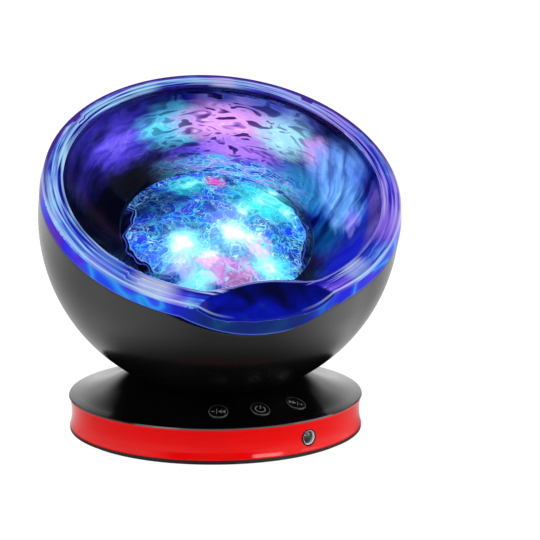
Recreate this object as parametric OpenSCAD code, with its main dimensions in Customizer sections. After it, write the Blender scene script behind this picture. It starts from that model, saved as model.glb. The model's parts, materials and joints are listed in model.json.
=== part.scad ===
// Ocean wave projector: a tilting bowl with a motor-driven ripple lens, on a base with keys and a speaker.
// The origin is on the base's axis at the floor, +Z is up and the bowl's front faces -Y.

/* [Bowl] */
// Outer diameter of the bowl
bowl_d = 150; // [146:1:154]
// Wall thickness of the bowl
bowl_wall = 2.5; // [2:0.1:3]
// Height of the bowl's lowest point above the floor
bowl_lift = 17.5; // [16.5:0.5:18.5]
// Distance of the bowl's centre in front of the base's axis
bowl_forward = 9.5; // [8:0.5:11]
// Tilt of the bowl as shown, from facing straight up
bowl_tilt = 31.5; // [25:0.5:38]
// Smallest tilt
tilt_min = 20; // [18:1:24]
// Largest tilt
tilt_max = 44; // [40:1:44]
// Height of the bowl's lip above its centre
lip_h = 10.3; // [9:0.1:12]

/* [Clear ring] */
// Height of the ring's outer wall above the lip
band_h = 6.5; // [6:0.1:8]
// Amount that the outer wall leans in at its top
band_lean = 1; // [0.5:0.1:1.5]
// Width of the flat top face
flat_w = 8.2; // [7:0.1:9]
// Rise of the top face towards its inner edge
flat_rise = 0.8; // [0.4:0.1:1.2]
// Thickness of the ring's top
ring_t = 2.5; // [2:0.1:3]
// Turn of the ring's scoop from the bowl's front
ring_turn = 4.5; // [0:0.5:6]

/* [Front scoop] */
// Radius of the scoop's curve
scoop_r = 330; // [300:5:360]
// Fall of the scoop towards the front
scoop_fall = 28.7; // [28:0.1:30]
// Distance of the scoop's inner end from the ring's inner edge
scoop_inset = 5.2; // [4.5:0.1:5.8]
// Height of the scoop's inner end above the ring's inner edge
scoop_over = 1.3; // [1:0.1:1.6]
// Height of the clear band under the scoop
scoop_band = 7.2; // [6.5:0.1:7.5]
// Thickness of the scoop's plate
scoop_t = 3; // [2.5:0.1:3.5]

/* [Window and lens] */
// Rise of the window's dome
window_rise = 9; // [7:0.5:11]
// Thickness of the window
window_t = 2; // [1.6:0.1:2.4]
// Diameter of the ripple lens
lens_d = 78; // [72:1:79]
// Thickness of the ripple lens at its edge
lens_t = 2.5; // [2:0.1:3]
// Rise of the lens's dome
lens_rise = 9; // [6:0.5:10]

/* [Drive] */
// Size of the gear teeth
gear_module = 0.8; // [0.7:0.05:0.85]
// Teeth on the output gear
gear_teeth = 51; // [45:1:51]
// Teeth on the motor pinion
pinion_teeth = 17; // [17:1:18]
// Thickness of the gears
gear_t = 4; // [3:0.5:4]
// Diameter of the output shaft
shaft_d = 5; // [4:0.5:6]

/* [Base] */
// Diameter of the base
base_d = 124.6; // [122:0.2:128]
// Height of the cover's outer edge
edge_z = 15.5; // [15:0.1:17]
// Slope of the cover at its outer edge
cover_slope = 0.14; // [0.12:0.01:0.16]
// Radius of the hollow curve in which the cover sweeps up to the neck
flare_r = 60; // [55:1:70]
// Wall thickness of the base's cover
cover_t = 2.2; // [2:0.1:2.4]
// Width of the sloping top, from the edge to the neck collar
slope_w = 24.3; // [23.5:0.1:25]
// Turn of the control panel from the bowl's front
panel_turn = 10.5; // [0:0.5:15]
// Hollow of the band's outer face
band_hollow = 1; // [0.5:0.1:1.2]

/* [Controls] */
// Diameter of the keys
key_d = 8.2; // [7.6:0.1:8.6]
// Distance of the keys' centres from the edge of the base
key_inset = 13.1; // [12.6:0.1:13.6]
// Angle between the keys
key_step = 20.4; // [20:0.1:21]
// Travel of the keys
key_travel = 0.7; // [0.5:0.1:0.7]
// Diameter of the receiver window
ir_d = 6; // [5:0.2:6.4]
// Angle of the receiver window from the panel's middle
ir_angle = 16.6; // [14:0.1:18]

/* [Fits] */
// Clearance between pieces that move past each other
clear = 0.3; // [0.25:0.01:0.4]
// Radial clearance of a running fit
run = 0.05; // [0.02:0.01:0.1]
// Radial clearance of fixed pieces
seat = 0.05; // [0.02:0.01:0.1]

/* [Hidden] */
$fn = 96;
bowl_r = bowl_d / 2;
bowl_in = bowl_r - bowl_wall;
bowl_z = bowl_lift + bowl_r;
eps = 0.1;
far = 200;

// Clear ring
ring_top = lip_h + band_h;
ring_r = bowl_r - band_lean;
eye_r = ring_r - flat_w;
eye_top = ring_top + flat_rise;
ring_under = eye_top - ring_t;
ring_wall = 2.5;
ring_in = bowl_in - ring_wall;
tongue_h = 4;
tongue_play = 0.2;
tab_angles = [45, 135, 225, 315];
tab_w = 6;
tab_t = 2.2;
tab_drop = 0.6;
scoop_reach = eye_r - scoop_inset;
scoop_plate = 4.6;
scoop_back = scoop_reach - scoop_plate;
scoop_join = 0.2;

// Window and light well
window_play = 0.2;
window_r = eye_r - window_play;
window_curve = (pow(window_r, 2) + pow(window_rise, 2)) / (2 * window_rise);
window_centre = eye_top + window_rise - window_curve;
window_flange_r = ring_in - window_play;
window_flange_w = 8;
window_flange_in = window_flange_r - window_flange_w;
window_under = ring_under - window_t;
well_t = 1.6;
well_top = window_under - well_t;
well_inset = 1.8;
well_mouth = eye_r - well_inset;
well_play = 2;
well_r = lens_d / 2 + well_play;
well_floor = -9;
well_centre = (pow(well_mouth, 2) - pow(well_r, 2) + pow(well_top, 2) - pow(well_floor, 2))
    / (2 * (well_top - well_floor));
well_curve = sqrt(pow(well_mouth, 2) + pow(well_top - well_centre, 2));

// Lamp deck and drive
deck_t = 2.5;
deck_top = -21.5;
deck_under = deck_top - deck_t;
deck_gap = 5.4;
deck_r = sqrt(pow(bowl_in, 2) - pow(deck_under, 2)) - deck_gap;
deck_boss_r = 4;
deck_screw_inset = 5;
deck_screw_circle = deck_r - deck_screw_inset;
deck_screw_angles = [45, 135, 225, 315];
led_board_t = 1.6;
led_board_r = 36;
led_board_in = 9;
led_count = 12;
led_circle = 25;
led_r = 2.5;
led_body = 2.6;
led_screw_circle = 32;
led_screw_angles = [90, 210, 330];
bearing_wall = 2.5;
bearing_r = shaft_d / 2 + bearing_wall;
bearing_top = -16.5;
bearing_under = -28;
gear_gap = 0.4;
gear_top = bearing_under - gear_gap;
gear_under = gear_top - gear_t;
gear_centres = gear_module * (gear_teeth + pinion_teeth) / 2;
gear_backlash = 0.05;
pressure = 20;
clip_t = 0.8;
clip_w = 2;
shaft_tail = 2.2;
shaft_under = gear_under - shaft_tail;
lens_under = -12;
hub_under = bearing_top + gear_gap;
hub_r = 6;
lens_hole_top = -8;
lens_top = lens_under + lens_t + lens_rise;
lens_curve = (pow(lens_d / 2, 2) + pow(lens_rise, 2)) / (2 * lens_rise);
motor_r = 12;
motor_h = 15;
motor_flange_t = 1.5;
motor_gap = 1.6;
motor_top = gear_under - motor_gap;
motor_boss_h = 0.8;
motor_ear = 17;
motor_ear_r = 4.5;
motor_shaft_r = 1.2;
motor_shaft_in = 3;
motor_boss_r = 4;
pillar_r = 3.2;

// Tilt seat
seat_r = bowl_r + clear;
dish_t = 2.5;
dish_r = 24;
post_r = 5;
post_bore = 3.2;
post_foot = 9;
post_play = 0.6;
post_lean = asin(bowl_forward / bowl_r);
slot_from = tilt_min - post_lean;
slot_to = tilt_max - post_lean;
slot_depth = 6;
rubber_in = 16;
rubber_out = 21;
rubber_t = 1.2;
saddle_r = 17;
saddle_t = 3;
saddle_hub_r = 9;
saddle_rise = 6.5;
saddle_flat = bowl_z - bowl_in + saddle_rise;
spring_t = 1.2;
nut_t = 4;
nut_af = 16;
spring_inset = 0.5;
post_tip = 0.6;
post_top = saddle_flat + spring_t + nut_t + post_tip;

// Base
base_r = base_d / 2;
neck_r = base_r - slope_w;
floor_z = 1;
plate_top = 3;
lip_top = 2.2;
plate_inset = 0.3;
plate_r = base_r - plate_inset;
band_inset = 0.2;
band_r = base_r - band_inset;
band_wall = 2.5;
band_in = band_r - band_wall;
edge_t = 0.6;
band_top = edge_z - edge_t;
skirt_play = 0.2;
skirt_r = band_in - skirt_play;
skirt_t = 1.5;
skirt_foot = 12.6;
plate_rim_top = 3.8;
collar_spare = 2;
collar_top = bowl_z - sqrt(pow(seat_r, 2) - pow(neck_r + bowl_forward, 2)) + collar_spare;
edge_angle = atan(cover_slope);
flare_centre = [base_r + flare_r * sin(edge_angle), edge_z + flare_r * cos(edge_angle)];
foot_inset = 2.3;
foot_w = 4.5;
foot_out = base_r - foot_inset;
foot_in = foot_out - foot_w;
foot_seat = 0.6;
pad_top = 4.5;
pad_r = 5;
cover_screw_inset = 11.3;
cover_screw_circle = base_r - cover_screw_inset;
cover_screw_angles = [55, 125, 235, 305];
column_xy = 13;
column_r = 3.5;
screw_r = 1.45;
screw_head_r = 2.8;
screw_head_t = 1.6;
screw_len = 8;
screw_spare = 1;
screw_sink = 0.3;
head_bore_r = 3.1;

// Power socket
socket_w = 8;
socket_h = 3.4;
socket_deep = 6;
socket_z = 8;
socket_wall = 0.6;
socket_inset = 0.6;
socket_out = base_r - socket_inset;
socket_block = [11, 7, 6.5];
tongue_share = 0.8;
tongue_t = 0.8;
tongue_back = 1;

// Speaker
speaker_gap = 0.7;
speaker_front = 15;
speaker_back = socket_out - socket_deep - socket_block[1] - speaker_gap;
speaker_r = (speaker_back - speaker_front) / 2;
speaker_y = (speaker_back + speaker_front) / 2;
speaker_flange_w = 2.5;
speaker_flange_t = 1.5;
cone_r = speaker_r - speaker_flange_w;
cone_t = 0.6;
cone_lift = 0.2;
cone_rise = 3.6;
grille_inset = 1;
slit_count = 7;
slit_w = 2;
slit_edge = 3;
slit_pitch = 2 * (cone_r - slit_edge) / (slit_count - 1);
basket_t = 1.2;
basket_taper = 4.5;
basket_r = cone_r - basket_taper;
basket_top = 10.5;
magnet_t = 3;

// Boards and controls
board_t = 1.6;
board_z = 5.5;
board_top = board_z + board_t;
key_circle = base_r - key_inset;
board_inner_w = 12.5;
board_in = key_circle - board_inner_w;
board_gap = 1;
board_out = skirt_r - skirt_t - board_gap;
board_half_angle = 42;
standoff_r = 3;
board_screw_inset = 8.5;
board_screw_circle = key_circle - board_screw_inset;
board_screw_bite = 2;
board_screw_angles = [-36, 0, 36];
small_screw_r = 1;
small_head_r = 1.9;
small_head_t = 1.3;
small_screw_len = 6;
switch_w = 6;
switch_h = 3.5;
plunger_r = 1.6;
plunger_h = 0.8;
key_proud = 0.4;
key_flange_r = 5.2;
key_flange_t = 1.2;
key_flange_gap = 0.4;
key_flange_top = cover_z(key_circle + key_flange_r) - cover_t - key_flange_gap;
key_stem_r = 2.2;
key_slack = 0.1;
key_stem_foot = board_top + switch_h + plunger_h + key_travel + key_slack;
chip_size = [10, 5, 1.6];
chip_inset = 4;
chip_circle = board_out - chip_inset;
ir_z = 7.8;
ir_ring_t = 0.6;
ir_ring_inset = 0.9;
ir_ring_out = base_r - ir_ring_inset;
ir_lens_inset = 1.1;
ir_lens_out = base_r - ir_lens_inset;
ir_deep = 5;
ir_back = base_r - ir_deep;
receiver_size = [5.6, 4, 5.2];
receiver_gap = 0.8;
receiver_face = ir_back - receiver_gap;
receiver_eye_r = 1.8;
receiver_eye_h = 0.6;
receiver_eye_up = 2;

// Height of the cover's top at a radius
function cover_z(r) = flare_centre[1] - sqrt(pow(flare_r, 2) - pow(flare_centre[0] - r, 2));

// Involute gear outline: half the tooth's angle at each radius of its flank
function roll(r, rb) = sqrt(max(0, pow(r / rb, 2) - 1)) * 180 / PI;
function unwind(r, rb) = roll(r, rb) - atan(roll(r, rb) * PI / 180);
function half_tooth(r, rb, rp, teeth) = 90 / teeth * (1 - gear_backlash) + unwind(rp, rb) - unwind(r, rb);
function at_angle(r, a) = [r * cos(a), r * sin(a)];
function gear_outline(teeth) =
    let (rp = gear_module * teeth / 2, rb = rp * cos(pressure), root = rp - 1.25 * gear_module)
    let (tip = rp + gear_module, start = max(rb, root))
    let (flank = [root, for (i = [0:4]) start + (tip - start) * i / 4])
    [for (t = [0:teeth - 1]) each concat(
        [for (r = flank) at_angle(r, t * 360 / teeth - half_tooth(r, rb, rp, teeth))],
        [for (i = [len(flank) - 1:-1:0]) let (r = flank[i])
            at_angle(r, t * 360 / teeth + half_tooth(r, rb, rp, teeth))]
    )];

// Frames
module in_head() { translate([0, -bowl_forward, bowl_z]) rotate([bowl_tilt, 0, 0]) children(); }
module in_ring() { in_head() rotate([0, 0, ring_turn]) children(); }
module in_base() { rotate([0, 0, panel_turn]) children(); }
module at_bowl_centre() { translate([0, -bowl_forward, bowl_z]) children(); }
// Copies at an angle from the front, on a circle
module around(angles, circle) { for (a = angles) rotate([0, 0, a]) translate([0, -circle, 0]) children(); }
module tube(r_out, r_in, z0, z1) {
    translate([0, 0, z0]) difference() {
        cylinder(r = r_out, h = z1 - z0);
        translate([0, 0, -eps]) cylinder(r = r_in, h = z1 - z0 + 2 * eps);
    }
}
module rod(r, z0, z1) { translate([0, 0, z0]) cylinder(r = r, h = z1 - z0); }
module block(size) { translate([-size[0] / 2, -size[1] / 2, 0]) cube(size); }

// Pan-head screw with its head down at z = 0 and its shank up
module screw(shank_r, head_r, head_t, length) {
    rod(head_r, 0, head_t);
    rod(shank_r, head_t, head_t + length);
}
// Round shell between two radii
module shell(r_out, r_in) { difference() { sphere(r = r_out, $fn = 128); sphere(r = r_in, $fn = 128); } }

// Front scoop: everything above a hollow curve that falls towards the front, lowered by an amount
module scoop(lower) {
    translate([0, -scoop_reach, eye_top + scoop_over - lower]) rotate([scoop_fall, 0, 0])
        translate([0, 0, scoop_r]) rotate([90, 0, 0])
            cylinder(r = scoop_r, h = far, center = true, $fn = 160);
}
// Space in front of a distance from the ring's axis
module front_of(v) { translate([-far / 2, -v - far, -far / 2]) cube([far, far, far]); }
module scoop_space(lower, v) {
    intersection() {
        scoop(lower);
        front_of(v);
        rod(bowl_r + eps, -bowl_r, eye_top + window_rise);
    }
}

// Base body
// Space above the cover's sweep, and the space that its thickness leaves below
module flare_above() {
    intersection() {
        translate(flare_centre) circle(r = flare_r, $fn = 256);
        translate([neck_r, 0]) square([base_r, collar_top]);
    }
}
module space_under() {
    difference() {
        translate([neck_r - cover_t - eps, 0])
            square([skirt_r - skirt_t - neck_r + cover_t + eps, edge_z + neck_r]);
        translate(flare_centre) circle(r = flare_r + cover_t, $fn = 256);
        translate([neck_r - cover_t - eps, cover_z(neck_r) - cover_t]) square([cover_t + eps, collar_top]);
    }
}
module base_top_cover() {
    color("#141416") difference() {
        union() {
            rotate_extrude($fn = 160) difference() {
                polygon([
                    [base_r, band_top], [base_r, edge_z], [neck_r, cover_z(neck_r)], [neck_r, collar_top],
                    [neck_r - cover_t, collar_top], [neck_r - cover_t, skirt_foot], [skirt_r, skirt_foot],
                    [skirt_r, band_top]
                ]);
                flare_above();
                space_under();
            }
            in_base() around(cover_screw_angles, cover_screw_circle)
                rod(column_r, pad_top, cover_z(cover_screw_circle) - cover_t / 2);
        }
        at_bowl_centre() sphere(r = seat_r, $fn = 128);
        in_base() around([-key_step, 0, key_step], key_circle)
            rod(key_d / 2 + clear, skirt_foot, edge_z + neck_r);
        in_base() around(cover_screw_angles, cover_screw_circle)
            rod(screw_r, 0, pad_top + screw_len - screw_spare);
    }
}

module base_band() {
    height = band_top - lip_top;
    curve = (pow(height / 2, 2) + pow(band_hollow, 2)) / (2 * band_hollow);
    socket_hole = [socket_w + 2 * socket_wall + 2 * seat, far / 10, socket_h + 2 * socket_wall + 2 * seat];
    color("#d81418") difference() {
        rotate_extrude($fn = 160) difference() {
            translate([band_in, lip_top]) square([band_r - band_in, height]);
            translate([band_r - band_hollow + curve, lip_top + height / 2]) circle(r = curve);
        }
        in_base() around([ir_angle], 0) translate([0, 0, ir_z]) rotate([90, 0, 0])
            rod(ir_d / 2 + ir_ring_t, ir_back, base_r + eps);
        in_base() rotate([0, 0, 180]) translate([0, -base_r, socket_z])
            cube(socket_hole, center = true);
    }
}

module bottom_plate() {
    color("#121214") difference() {
        union() {
            rotate_extrude($fn = 160) polygon([
                [0, floor_z], [plate_r, floor_z], [plate_r, lip_top], [skirt_r, lip_top],
                [skirt_r, plate_rim_top], [skirt_r - skirt_t, plate_rim_top],
                [skirt_r - skirt_t, plate_top], [0, plate_top]
            ]);
            in_base() around(cover_screw_angles, cover_screw_circle) rod(pad_r, floor_z, pad_top);
            in_base() columns() rod(pad_r, floor_z, pad_top);
            in_base() around(board_screw_angles, board_screw_circle) rod(standoff_r, floor_z, board_z);
        }
        tube(foot_out, foot_in, floor_z - eps, floor_z + foot_seat);
        in_base() base_screw_places() {
            rod(head_bore_r, 0, floor_z + screw_sink + screw_head_t);
            rod(screw_r + clear, 0, pad_top + eps);
        }
        in_base() around(board_screw_angles, board_screw_circle) rod(small_screw_r, plate_top, board_z + eps);
        in_base() translate([0, speaker_y, 0]) intersection() {
            rod(cone_r - grille_inset, 0, plate_top + eps);
            for (i = [0:slit_count - 1]) translate([(i - (slit_count - 1) / 2) * slit_pitch, 0, 0])
                block([slit_w, far / 4, far / 4]);
        }
    }
}
module columns() { for (x = [-1, 1], y = [-1, 1]) translate([x * column_xy, y * column_xy, 0]) children(); }
module base_screw_places() {
    around(cover_screw_angles, cover_screw_circle) children([0:$children - 1]);
    columns() children([0:$children - 1]);
}

module foot_ring() { color("#2a2a2c") tube(foot_out, foot_in, 0, floor_z + foot_seat); }

module base_screws() {
    color("silver") in_base() base_screw_places() translate([0, 0, floor_z + screw_sink])
        screw(screw_r, screw_head_r, screw_head_t, screw_len);
}

module main_board() {
    color("#1d6b35") in_base() difference() {
        intersection() {
            tube(board_out, board_in, board_z, board_top);
            linear_extrude(height = far) polygon([
                [0, 0], far * [-sin(board_half_angle), -cos(board_half_angle)],
                far * [sin(board_half_angle), -cos(board_half_angle)]
            ]);
        }
        around(board_screw_angles, board_screw_circle) rod(small_screw_r + clear, 0, far);
    }
}

module board_screws() {
    color("silver") in_base() around(board_screw_angles, board_screw_circle)
        translate([0, 0, board_top + small_head_t]) mirror([0, 0, 1])
            screw(small_screw_r, small_head_r, small_head_t, board_t + board_screw_bite);
}

module control_chip() {
    color("#202022") in_base() around([-key_step / 2], chip_circle) translate([0, 0, board_top])
        block(chip_size);
}

module tact_switches() {
    color("#303034") in_base() around([-key_step, 0, key_step], key_circle) {
        translate([0, 0, board_top]) block([switch_w, switch_w, switch_h]);
        rod(plunger_r, board_top + switch_h, board_top + switch_h + plunger_h);
    }
}

module in_ir() { in_base() rotate([0, 0, ir_angle]) translate([0, 0, ir_z]) rotate([90, 0, 0]) children(); }
module ir_bezel() { color("#c9ccd0") in_ir() tube(ir_d / 2 + ir_ring_t, ir_d / 2, ir_back, ir_ring_out); }
module ir_window() { color("#2a2226") in_ir() rod(ir_d / 2, ir_back, ir_lens_out); }
module ir_receiver() {
    color("#1a1a1c") in_base() rotate([0, 0, ir_angle]) {
        translate([0, -receiver_face + receiver_size[1] / 2, board_top]) block(receiver_size);
        translate([0, -receiver_face, ir_z + receiver_eye_up]) rotate([90, 0, 0])
            rod(receiver_eye_r, -eps, receiver_eye_h);
    }
}

module power_socket() {
    outer = [socket_w + 2 * socket_wall, socket_deep, socket_h + 2 * socket_wall];
    color("#b8bcc2") in_base() rotate([0, 0, 180]) translate([0, -socket_out, socket_z]) {
        difference() {
            translate([-outer[0] / 2, 0, -outer[2] / 2]) cube(outer);
            translate([-socket_w / 2, -eps, -socket_h / 2]) cube([socket_w, socket_deep, socket_h]);
        }
        translate([-socket_w * tongue_share / 2, tongue_back, -tongue_t / 2])
            cube([socket_w * tongue_share, socket_deep - tongue_back, tongue_t]);
        translate([-socket_block[0] / 2, socket_deep, plate_top - socket_z])
            cube([socket_block[0], socket_block[1], socket_block[2] + socket_h / 2]);
    }
}

module at_speaker() { in_base() translate([0, speaker_y, plate_top]) children(); }
module speaker_frame() {
    top = basket_top - plate_top;
    color("#8d9196") at_speaker() rotate_extrude() polygon([
        [cone_r, 0], [speaker_r, 0], [speaker_r, speaker_flange_t], [cone_r + basket_t, speaker_flange_t],
        [basket_r, top], [0, top], [0, top - basket_t], [basket_r - basket_t, top - basket_t],
        [cone_r, speaker_flange_t]
    ]);
}
module speaker_cone() {
    inner = basket_r / 2;
    color("#26262a") at_speaker() rotate_extrude() polygon([
        [cone_r, cone_lift], [cone_r, cone_lift + cone_t], [inner, cone_rise + cone_t],
        [0, cone_rise + cone_t], [0, cone_rise], [inner, cone_rise]
    ]);
}
module speaker_magnet() {
    color("#55585c") at_speaker() rod(basket_r, basket_top - plate_top, basket_top - plate_top + magnet_t);
}

// Tilt seat: a dish under the bowl, a hollow post through its slot and a sprung saddle inside it
module tilt_cradle() {
    color("#1b1b1e") difference() {
        union() {
            intersection() {
                at_bowl_centre() shell(seat_r + dish_t, seat_r);
                rod(dish_r, 0, bowl_z);
            }
            rod(post_r, post_foot, post_top);
            in_base() difference() {
                columns() rod(column_r, pad_top, bowl_z / 3);
                rotate([0, 0, -panel_turn]) at_bowl_centre() sphere(r = seat_r + dish_t / 2, $fn = 128);
            }
        }
        rod(post_bore, 0, bowl_z);
        rubber_space();
        in_base() columns() rod(screw_r, 0, pad_top + screw_len - screw_spare);
    }
}
module rubber_space() {
    intersection() {
        at_bowl_centre() shell(seat_r + rubber_t, bowl_in);
        tube(rubber_out, rubber_in, 0, bowl_z);
    }
}
module friction_ring() {
    color("#3a3a3e") intersection() {
        at_bowl_centre() shell(seat_r + rubber_t, bowl_r + run);
        tube(rubber_out, rubber_in, 0, bowl_z);
    }
}
module tilt_saddle() {
    color("#e4e4e0") difference() {
        union() {
            intersection() {
                at_bowl_centre() shell(bowl_in - run, bowl_in - run - saddle_t);
                rod(saddle_r, 0, bowl_z);
            }
            intersection() {
                at_bowl_centre() sphere(r = bowl_in - run, $fn = 128);
                rod(saddle_hub_r, 0, saddle_flat);
            }
        }
        rod(post_r + seat, 0, bowl_z);
    }
}
module saddle_spring() {
    color("silver") tube(saddle_hub_r - spring_inset, post_r + seat, saddle_flat, saddle_flat + spring_t);
}
module saddle_nut() {
    color("#9a9ea3") difference() {
        translate([0, 0, saddle_flat + spring_t]) cylinder(d = nut_af / cos(30), h = nut_t, $fn = 6);
        rod(post_r + seat, 0, bowl_z);
    }
}

// Keys
module key(step) {
    color("#17171a") in_base() rotate([0, 0, step * key_step]) {
        intersection() {
            translate([0, -key_circle, 0]) rod(key_d / 2, key_flange_top - eps, edge_z + neck_r);
            translate([0, 0, key_proud]) rotate_extrude($fn = 160) difference() {
                translate([neck_r, 0]) square([base_r - neck_r, collar_top]);
                flare_above();
            }
        }
        translate([0, -key_circle, 0]) {
            rod(key_flange_r, key_flange_top - key_flange_t, key_flange_top);
            rod(key_stem_r, key_stem_foot, key_flange_top - key_flange_t / 2);
        }
    }
}
module minus_key() { key(-1); }
module power_key() { key(0); }
module plus_key() { key(1); }

// Head body
module bowl_shell() {
    color("#131315") in_head() difference() {
        union() {
            intersection() {
                shell(bowl_r, bowl_in);
                rod(far, -far, 0);
            }
            tube(bowl_r, bowl_in, -eps, lip_h);
            intersection() {
                sphere(r = bowl_r - bowl_wall / 2, $fn = 128);
                around(deck_screw_angles, deck_screw_circle) rod(deck_boss_r, -bowl_r, deck_under);
            }
        }
        rotate([0, 0, ring_turn]) scoop(scoop_band);
        tilt_slot();
        around(deck_screw_angles, deck_screw_circle)
            rod(small_screw_r, deck_under - small_screw_len, deck_under + eps);
    }
}
// Slot that lets the post pass as the bowl tilts
module tilt_slot() {
    near = bowl_in - slot_depth;
    beyond = bowl_r * 1.3;
    for (a = [slot_from, slot_to]) rotate([-a, 0, 0]) rod(post_r + post_play, -beyond, -near);
    rotate([90, 0, 90]) linear_extrude(height = 2 * (post_r + post_play), center = true) polygon([
        near * [-sin(slot_from), -cos(slot_from)], beyond * [-sin(slot_from), -cos(slot_from)],
        beyond * [-sin(slot_to), -cos(slot_to)], near * [-sin(slot_to), -cos(slot_to)]
    ]);
}

module ring_outside() {
    rod(bowl_r, -bowl_r / 2, lip_h);
    translate([0, 0, lip_h]) cylinder(r1 = bowl_r, r2 = ring_r, h = band_h);
    rod(eye_r + flat_w - eps, ring_top, eye_top);
}
module snap_places(w, t, z0, z1) {
    around(tab_angles, ring_in) translate([-w / 2, -t, z0]) cube([w, 2 * t, z1 - z0]);
}
module rim_ring() {
    color("#7fb4ff", 0.5) in_ring() difference() {
        union() {
            rotate_extrude($fn = 160) polygon([
                [bowl_r, lip_h], [ring_r, ring_top], [eye_r, eye_top], [eye_r, ring_under],
                [ring_in, ring_under], [ring_in, lip_h - tongue_h],
                [bowl_in - tongue_play, lip_h - tongue_h], [bowl_in - tongue_play, lip_h]
            ]);
            intersection() {
                ring_outside();
                scoop_space(scoop_band, scoop_back);
                tube(bowl_r + eps, ring_in, -bowl_r, eye_top);
            }
            intersection() {
                scoop_space(scoop_t, scoop_back);
                rod(ring_in + eps, -bowl_r, eye_top + window_rise);
                window_dome(0);
            }
        }
        scoop(0);
        snap_places(tab_w, tab_t, window_under - eps, eye_top + eps);
    }
}

// Ball that the window's dome is a cap of, smaller by an amount
module window_dome(inset) { translate([0, 0, window_centre]) sphere(r = window_curve - inset, $fn = 128); }
module wave_window() {
    color("#cfe6ff", 0.3) in_ring() difference() {
        union() {
            intersection() {
                difference() { window_dome(0); window_dome(window_t); }
                rod(window_r, window_under, eye_top + window_rise + eps);
            }
            intersection() {
                window_dome(window_t / 2);
                tube(window_r, window_flange_in, window_under, eye_top);
            }
            tube(window_flange_r, window_flange_in, window_under, ring_under);
            snap_places(tab_w - 2 * tongue_play, tab_t - tongue_play, window_under, ring_top - tab_drop);
        }
        scoop_space(scoop_t + scoop_join, scoop_back - scoop_join);
    }
}

module light_well() {
    color("#0b0b12") in_head() difference() {
        union() {
            tube(window_flange_r, well_mouth, well_top, window_under);
            intersection() {
                translate([0, 0, well_centre]) shell(well_curve + well_t, well_curve);
                tube(window_flange_r, well_r, well_floor - well_t, well_top);
            }
            tube(well_r + well_t, well_r, deck_top, well_floor);
        }
        rotate([0, 0, ring_turn]) scoop_space(scoop_t + scoop_join, scoop_back - scoop_join);
    }
}

module lamp_deck() {
    color("#e8e8e6") in_head() difference() {
        union() {
            rod(deck_r, deck_under, deck_top);
            rod(bearing_r, bearing_under, bearing_top);
            motor_ears() rod(pillar_r, motor_top, deck_under + eps);
        }
        rod(shaft_d / 2 + run, -bowl_r, 0);
        around(deck_screw_angles, deck_screw_circle) rod(small_screw_r + clear, -bowl_r, 0);
        around(led_screw_angles, led_screw_circle) rod(small_screw_r, -bowl_r, 0);
        motor_ears() rod(small_screw_r, motor_top - eps, motor_top + small_screw_len);
    }
}
module motor_ears() { for (x = [-1, 1]) translate([x * motor_ear, gear_centres, 0]) children(); }
// Small screw driven from above onto a face
module small_screw_down(z) {
    translate([0, 0, z + small_head_t]) mirror([0, 0, 1])
        screw(small_screw_r, small_head_r, small_head_t, small_screw_len);
}
module deck_screws() {
    color("silver") in_head() around(deck_screw_angles, deck_screw_circle) small_screw_down(deck_top);
}
module led_board() {
    color("#f2f2ee") in_head() difference() {
        tube(led_board_r, led_board_in, deck_top, deck_top + led_board_t);
        around(led_screw_angles, led_screw_circle) rod(small_screw_r + clear, -bowl_r, 0);
    }
}
module led_board_screws() {
    color("silver") in_head() around(led_screw_angles, led_screw_circle)
        translate([0, 0, deck_top + led_board_t + small_head_t]) mirror([0, 0, 1])
            screw(small_screw_r, small_head_r, small_head_t, led_board_t + deck_t);
}
module leds() {
    color("#f4f8ff") in_head() for (i = [0:led_count - 1]) rotate([0, 0, (i + 0.5) * 360 / led_count])
        translate([led_circle, 0, deck_top + led_board_t]) {
            rod(led_r, 0, led_body);
            translate([0, 0, led_body]) intersection() {
                sphere(r = led_r);
                rod(led_r + eps, 0, led_r + eps);
            }
        }
}
module motor() {
    color("#b4b7ba") in_head() difference() {
        union() {
            translate([0, gear_centres, 0]) {
                rod(motor_r, motor_top - motor_flange_t - motor_h, motor_top - motor_flange_t);
                rod(motor_boss_r, motor_top - motor_flange_t - eps, motor_top + motor_boss_h);
            }
            translate([0, gear_centres, motor_top - motor_flange_t])
                block([2 * motor_ear, 2 * motor_ear_r, motor_flange_t]);
            motor_ears() rod(motor_ear_r, motor_top - motor_flange_t, motor_top);
        }
        translate([0, gear_centres, 0]) rod(motor_shaft_r + run, motor_top - motor_shaft_in - clear, 0);
        motor_ears() rod(small_screw_r + clear, motor_top - far, motor_top + eps);
    }
}
module motor_screws() {
    color("silver") in_head() motor_ears() translate([0, 0, motor_top - motor_flange_t - small_head_t])
        screw(small_screw_r, small_head_r, small_head_t, small_screw_len);
}

// Turning lens and its drive
module ripple_lens() {
    color("#9fe0ff", 0.7) in_head() difference() {
        union() {
            rod(lens_d / 2, lens_under, lens_under + lens_t);
            intersection() {
                translate([0, 0, lens_top - lens_curve]) sphere(r = lens_curve, $fn = 128);
                rod(lens_d / 2, lens_under + lens_t - eps, lens_top);
            }
            rod(hub_r, hub_under, lens_under + eps);
        }
        rod(shaft_d / 2, -bowl_r, lens_hole_top);
    }
}
module output_shaft() { color("silver") in_head() rod(shaft_d / 2, shaft_under, lens_hole_top); }
module output_gear() {
    color("#f0eee6") in_head() difference() {
        translate([0, 0, gear_under]) rotate([0, 0, 90 + 180 / gear_teeth]) linear_extrude(height = gear_t)
            polygon(gear_outline(gear_teeth));
        rod(shaft_d / 2, -bowl_r, 0);
    }
}
module shaft_clip() {
    color("#8a8d90") in_head() tube(shaft_d / 2 + clip_w, shaft_d / 2, gear_under - clip_t, gear_under);
}
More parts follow.
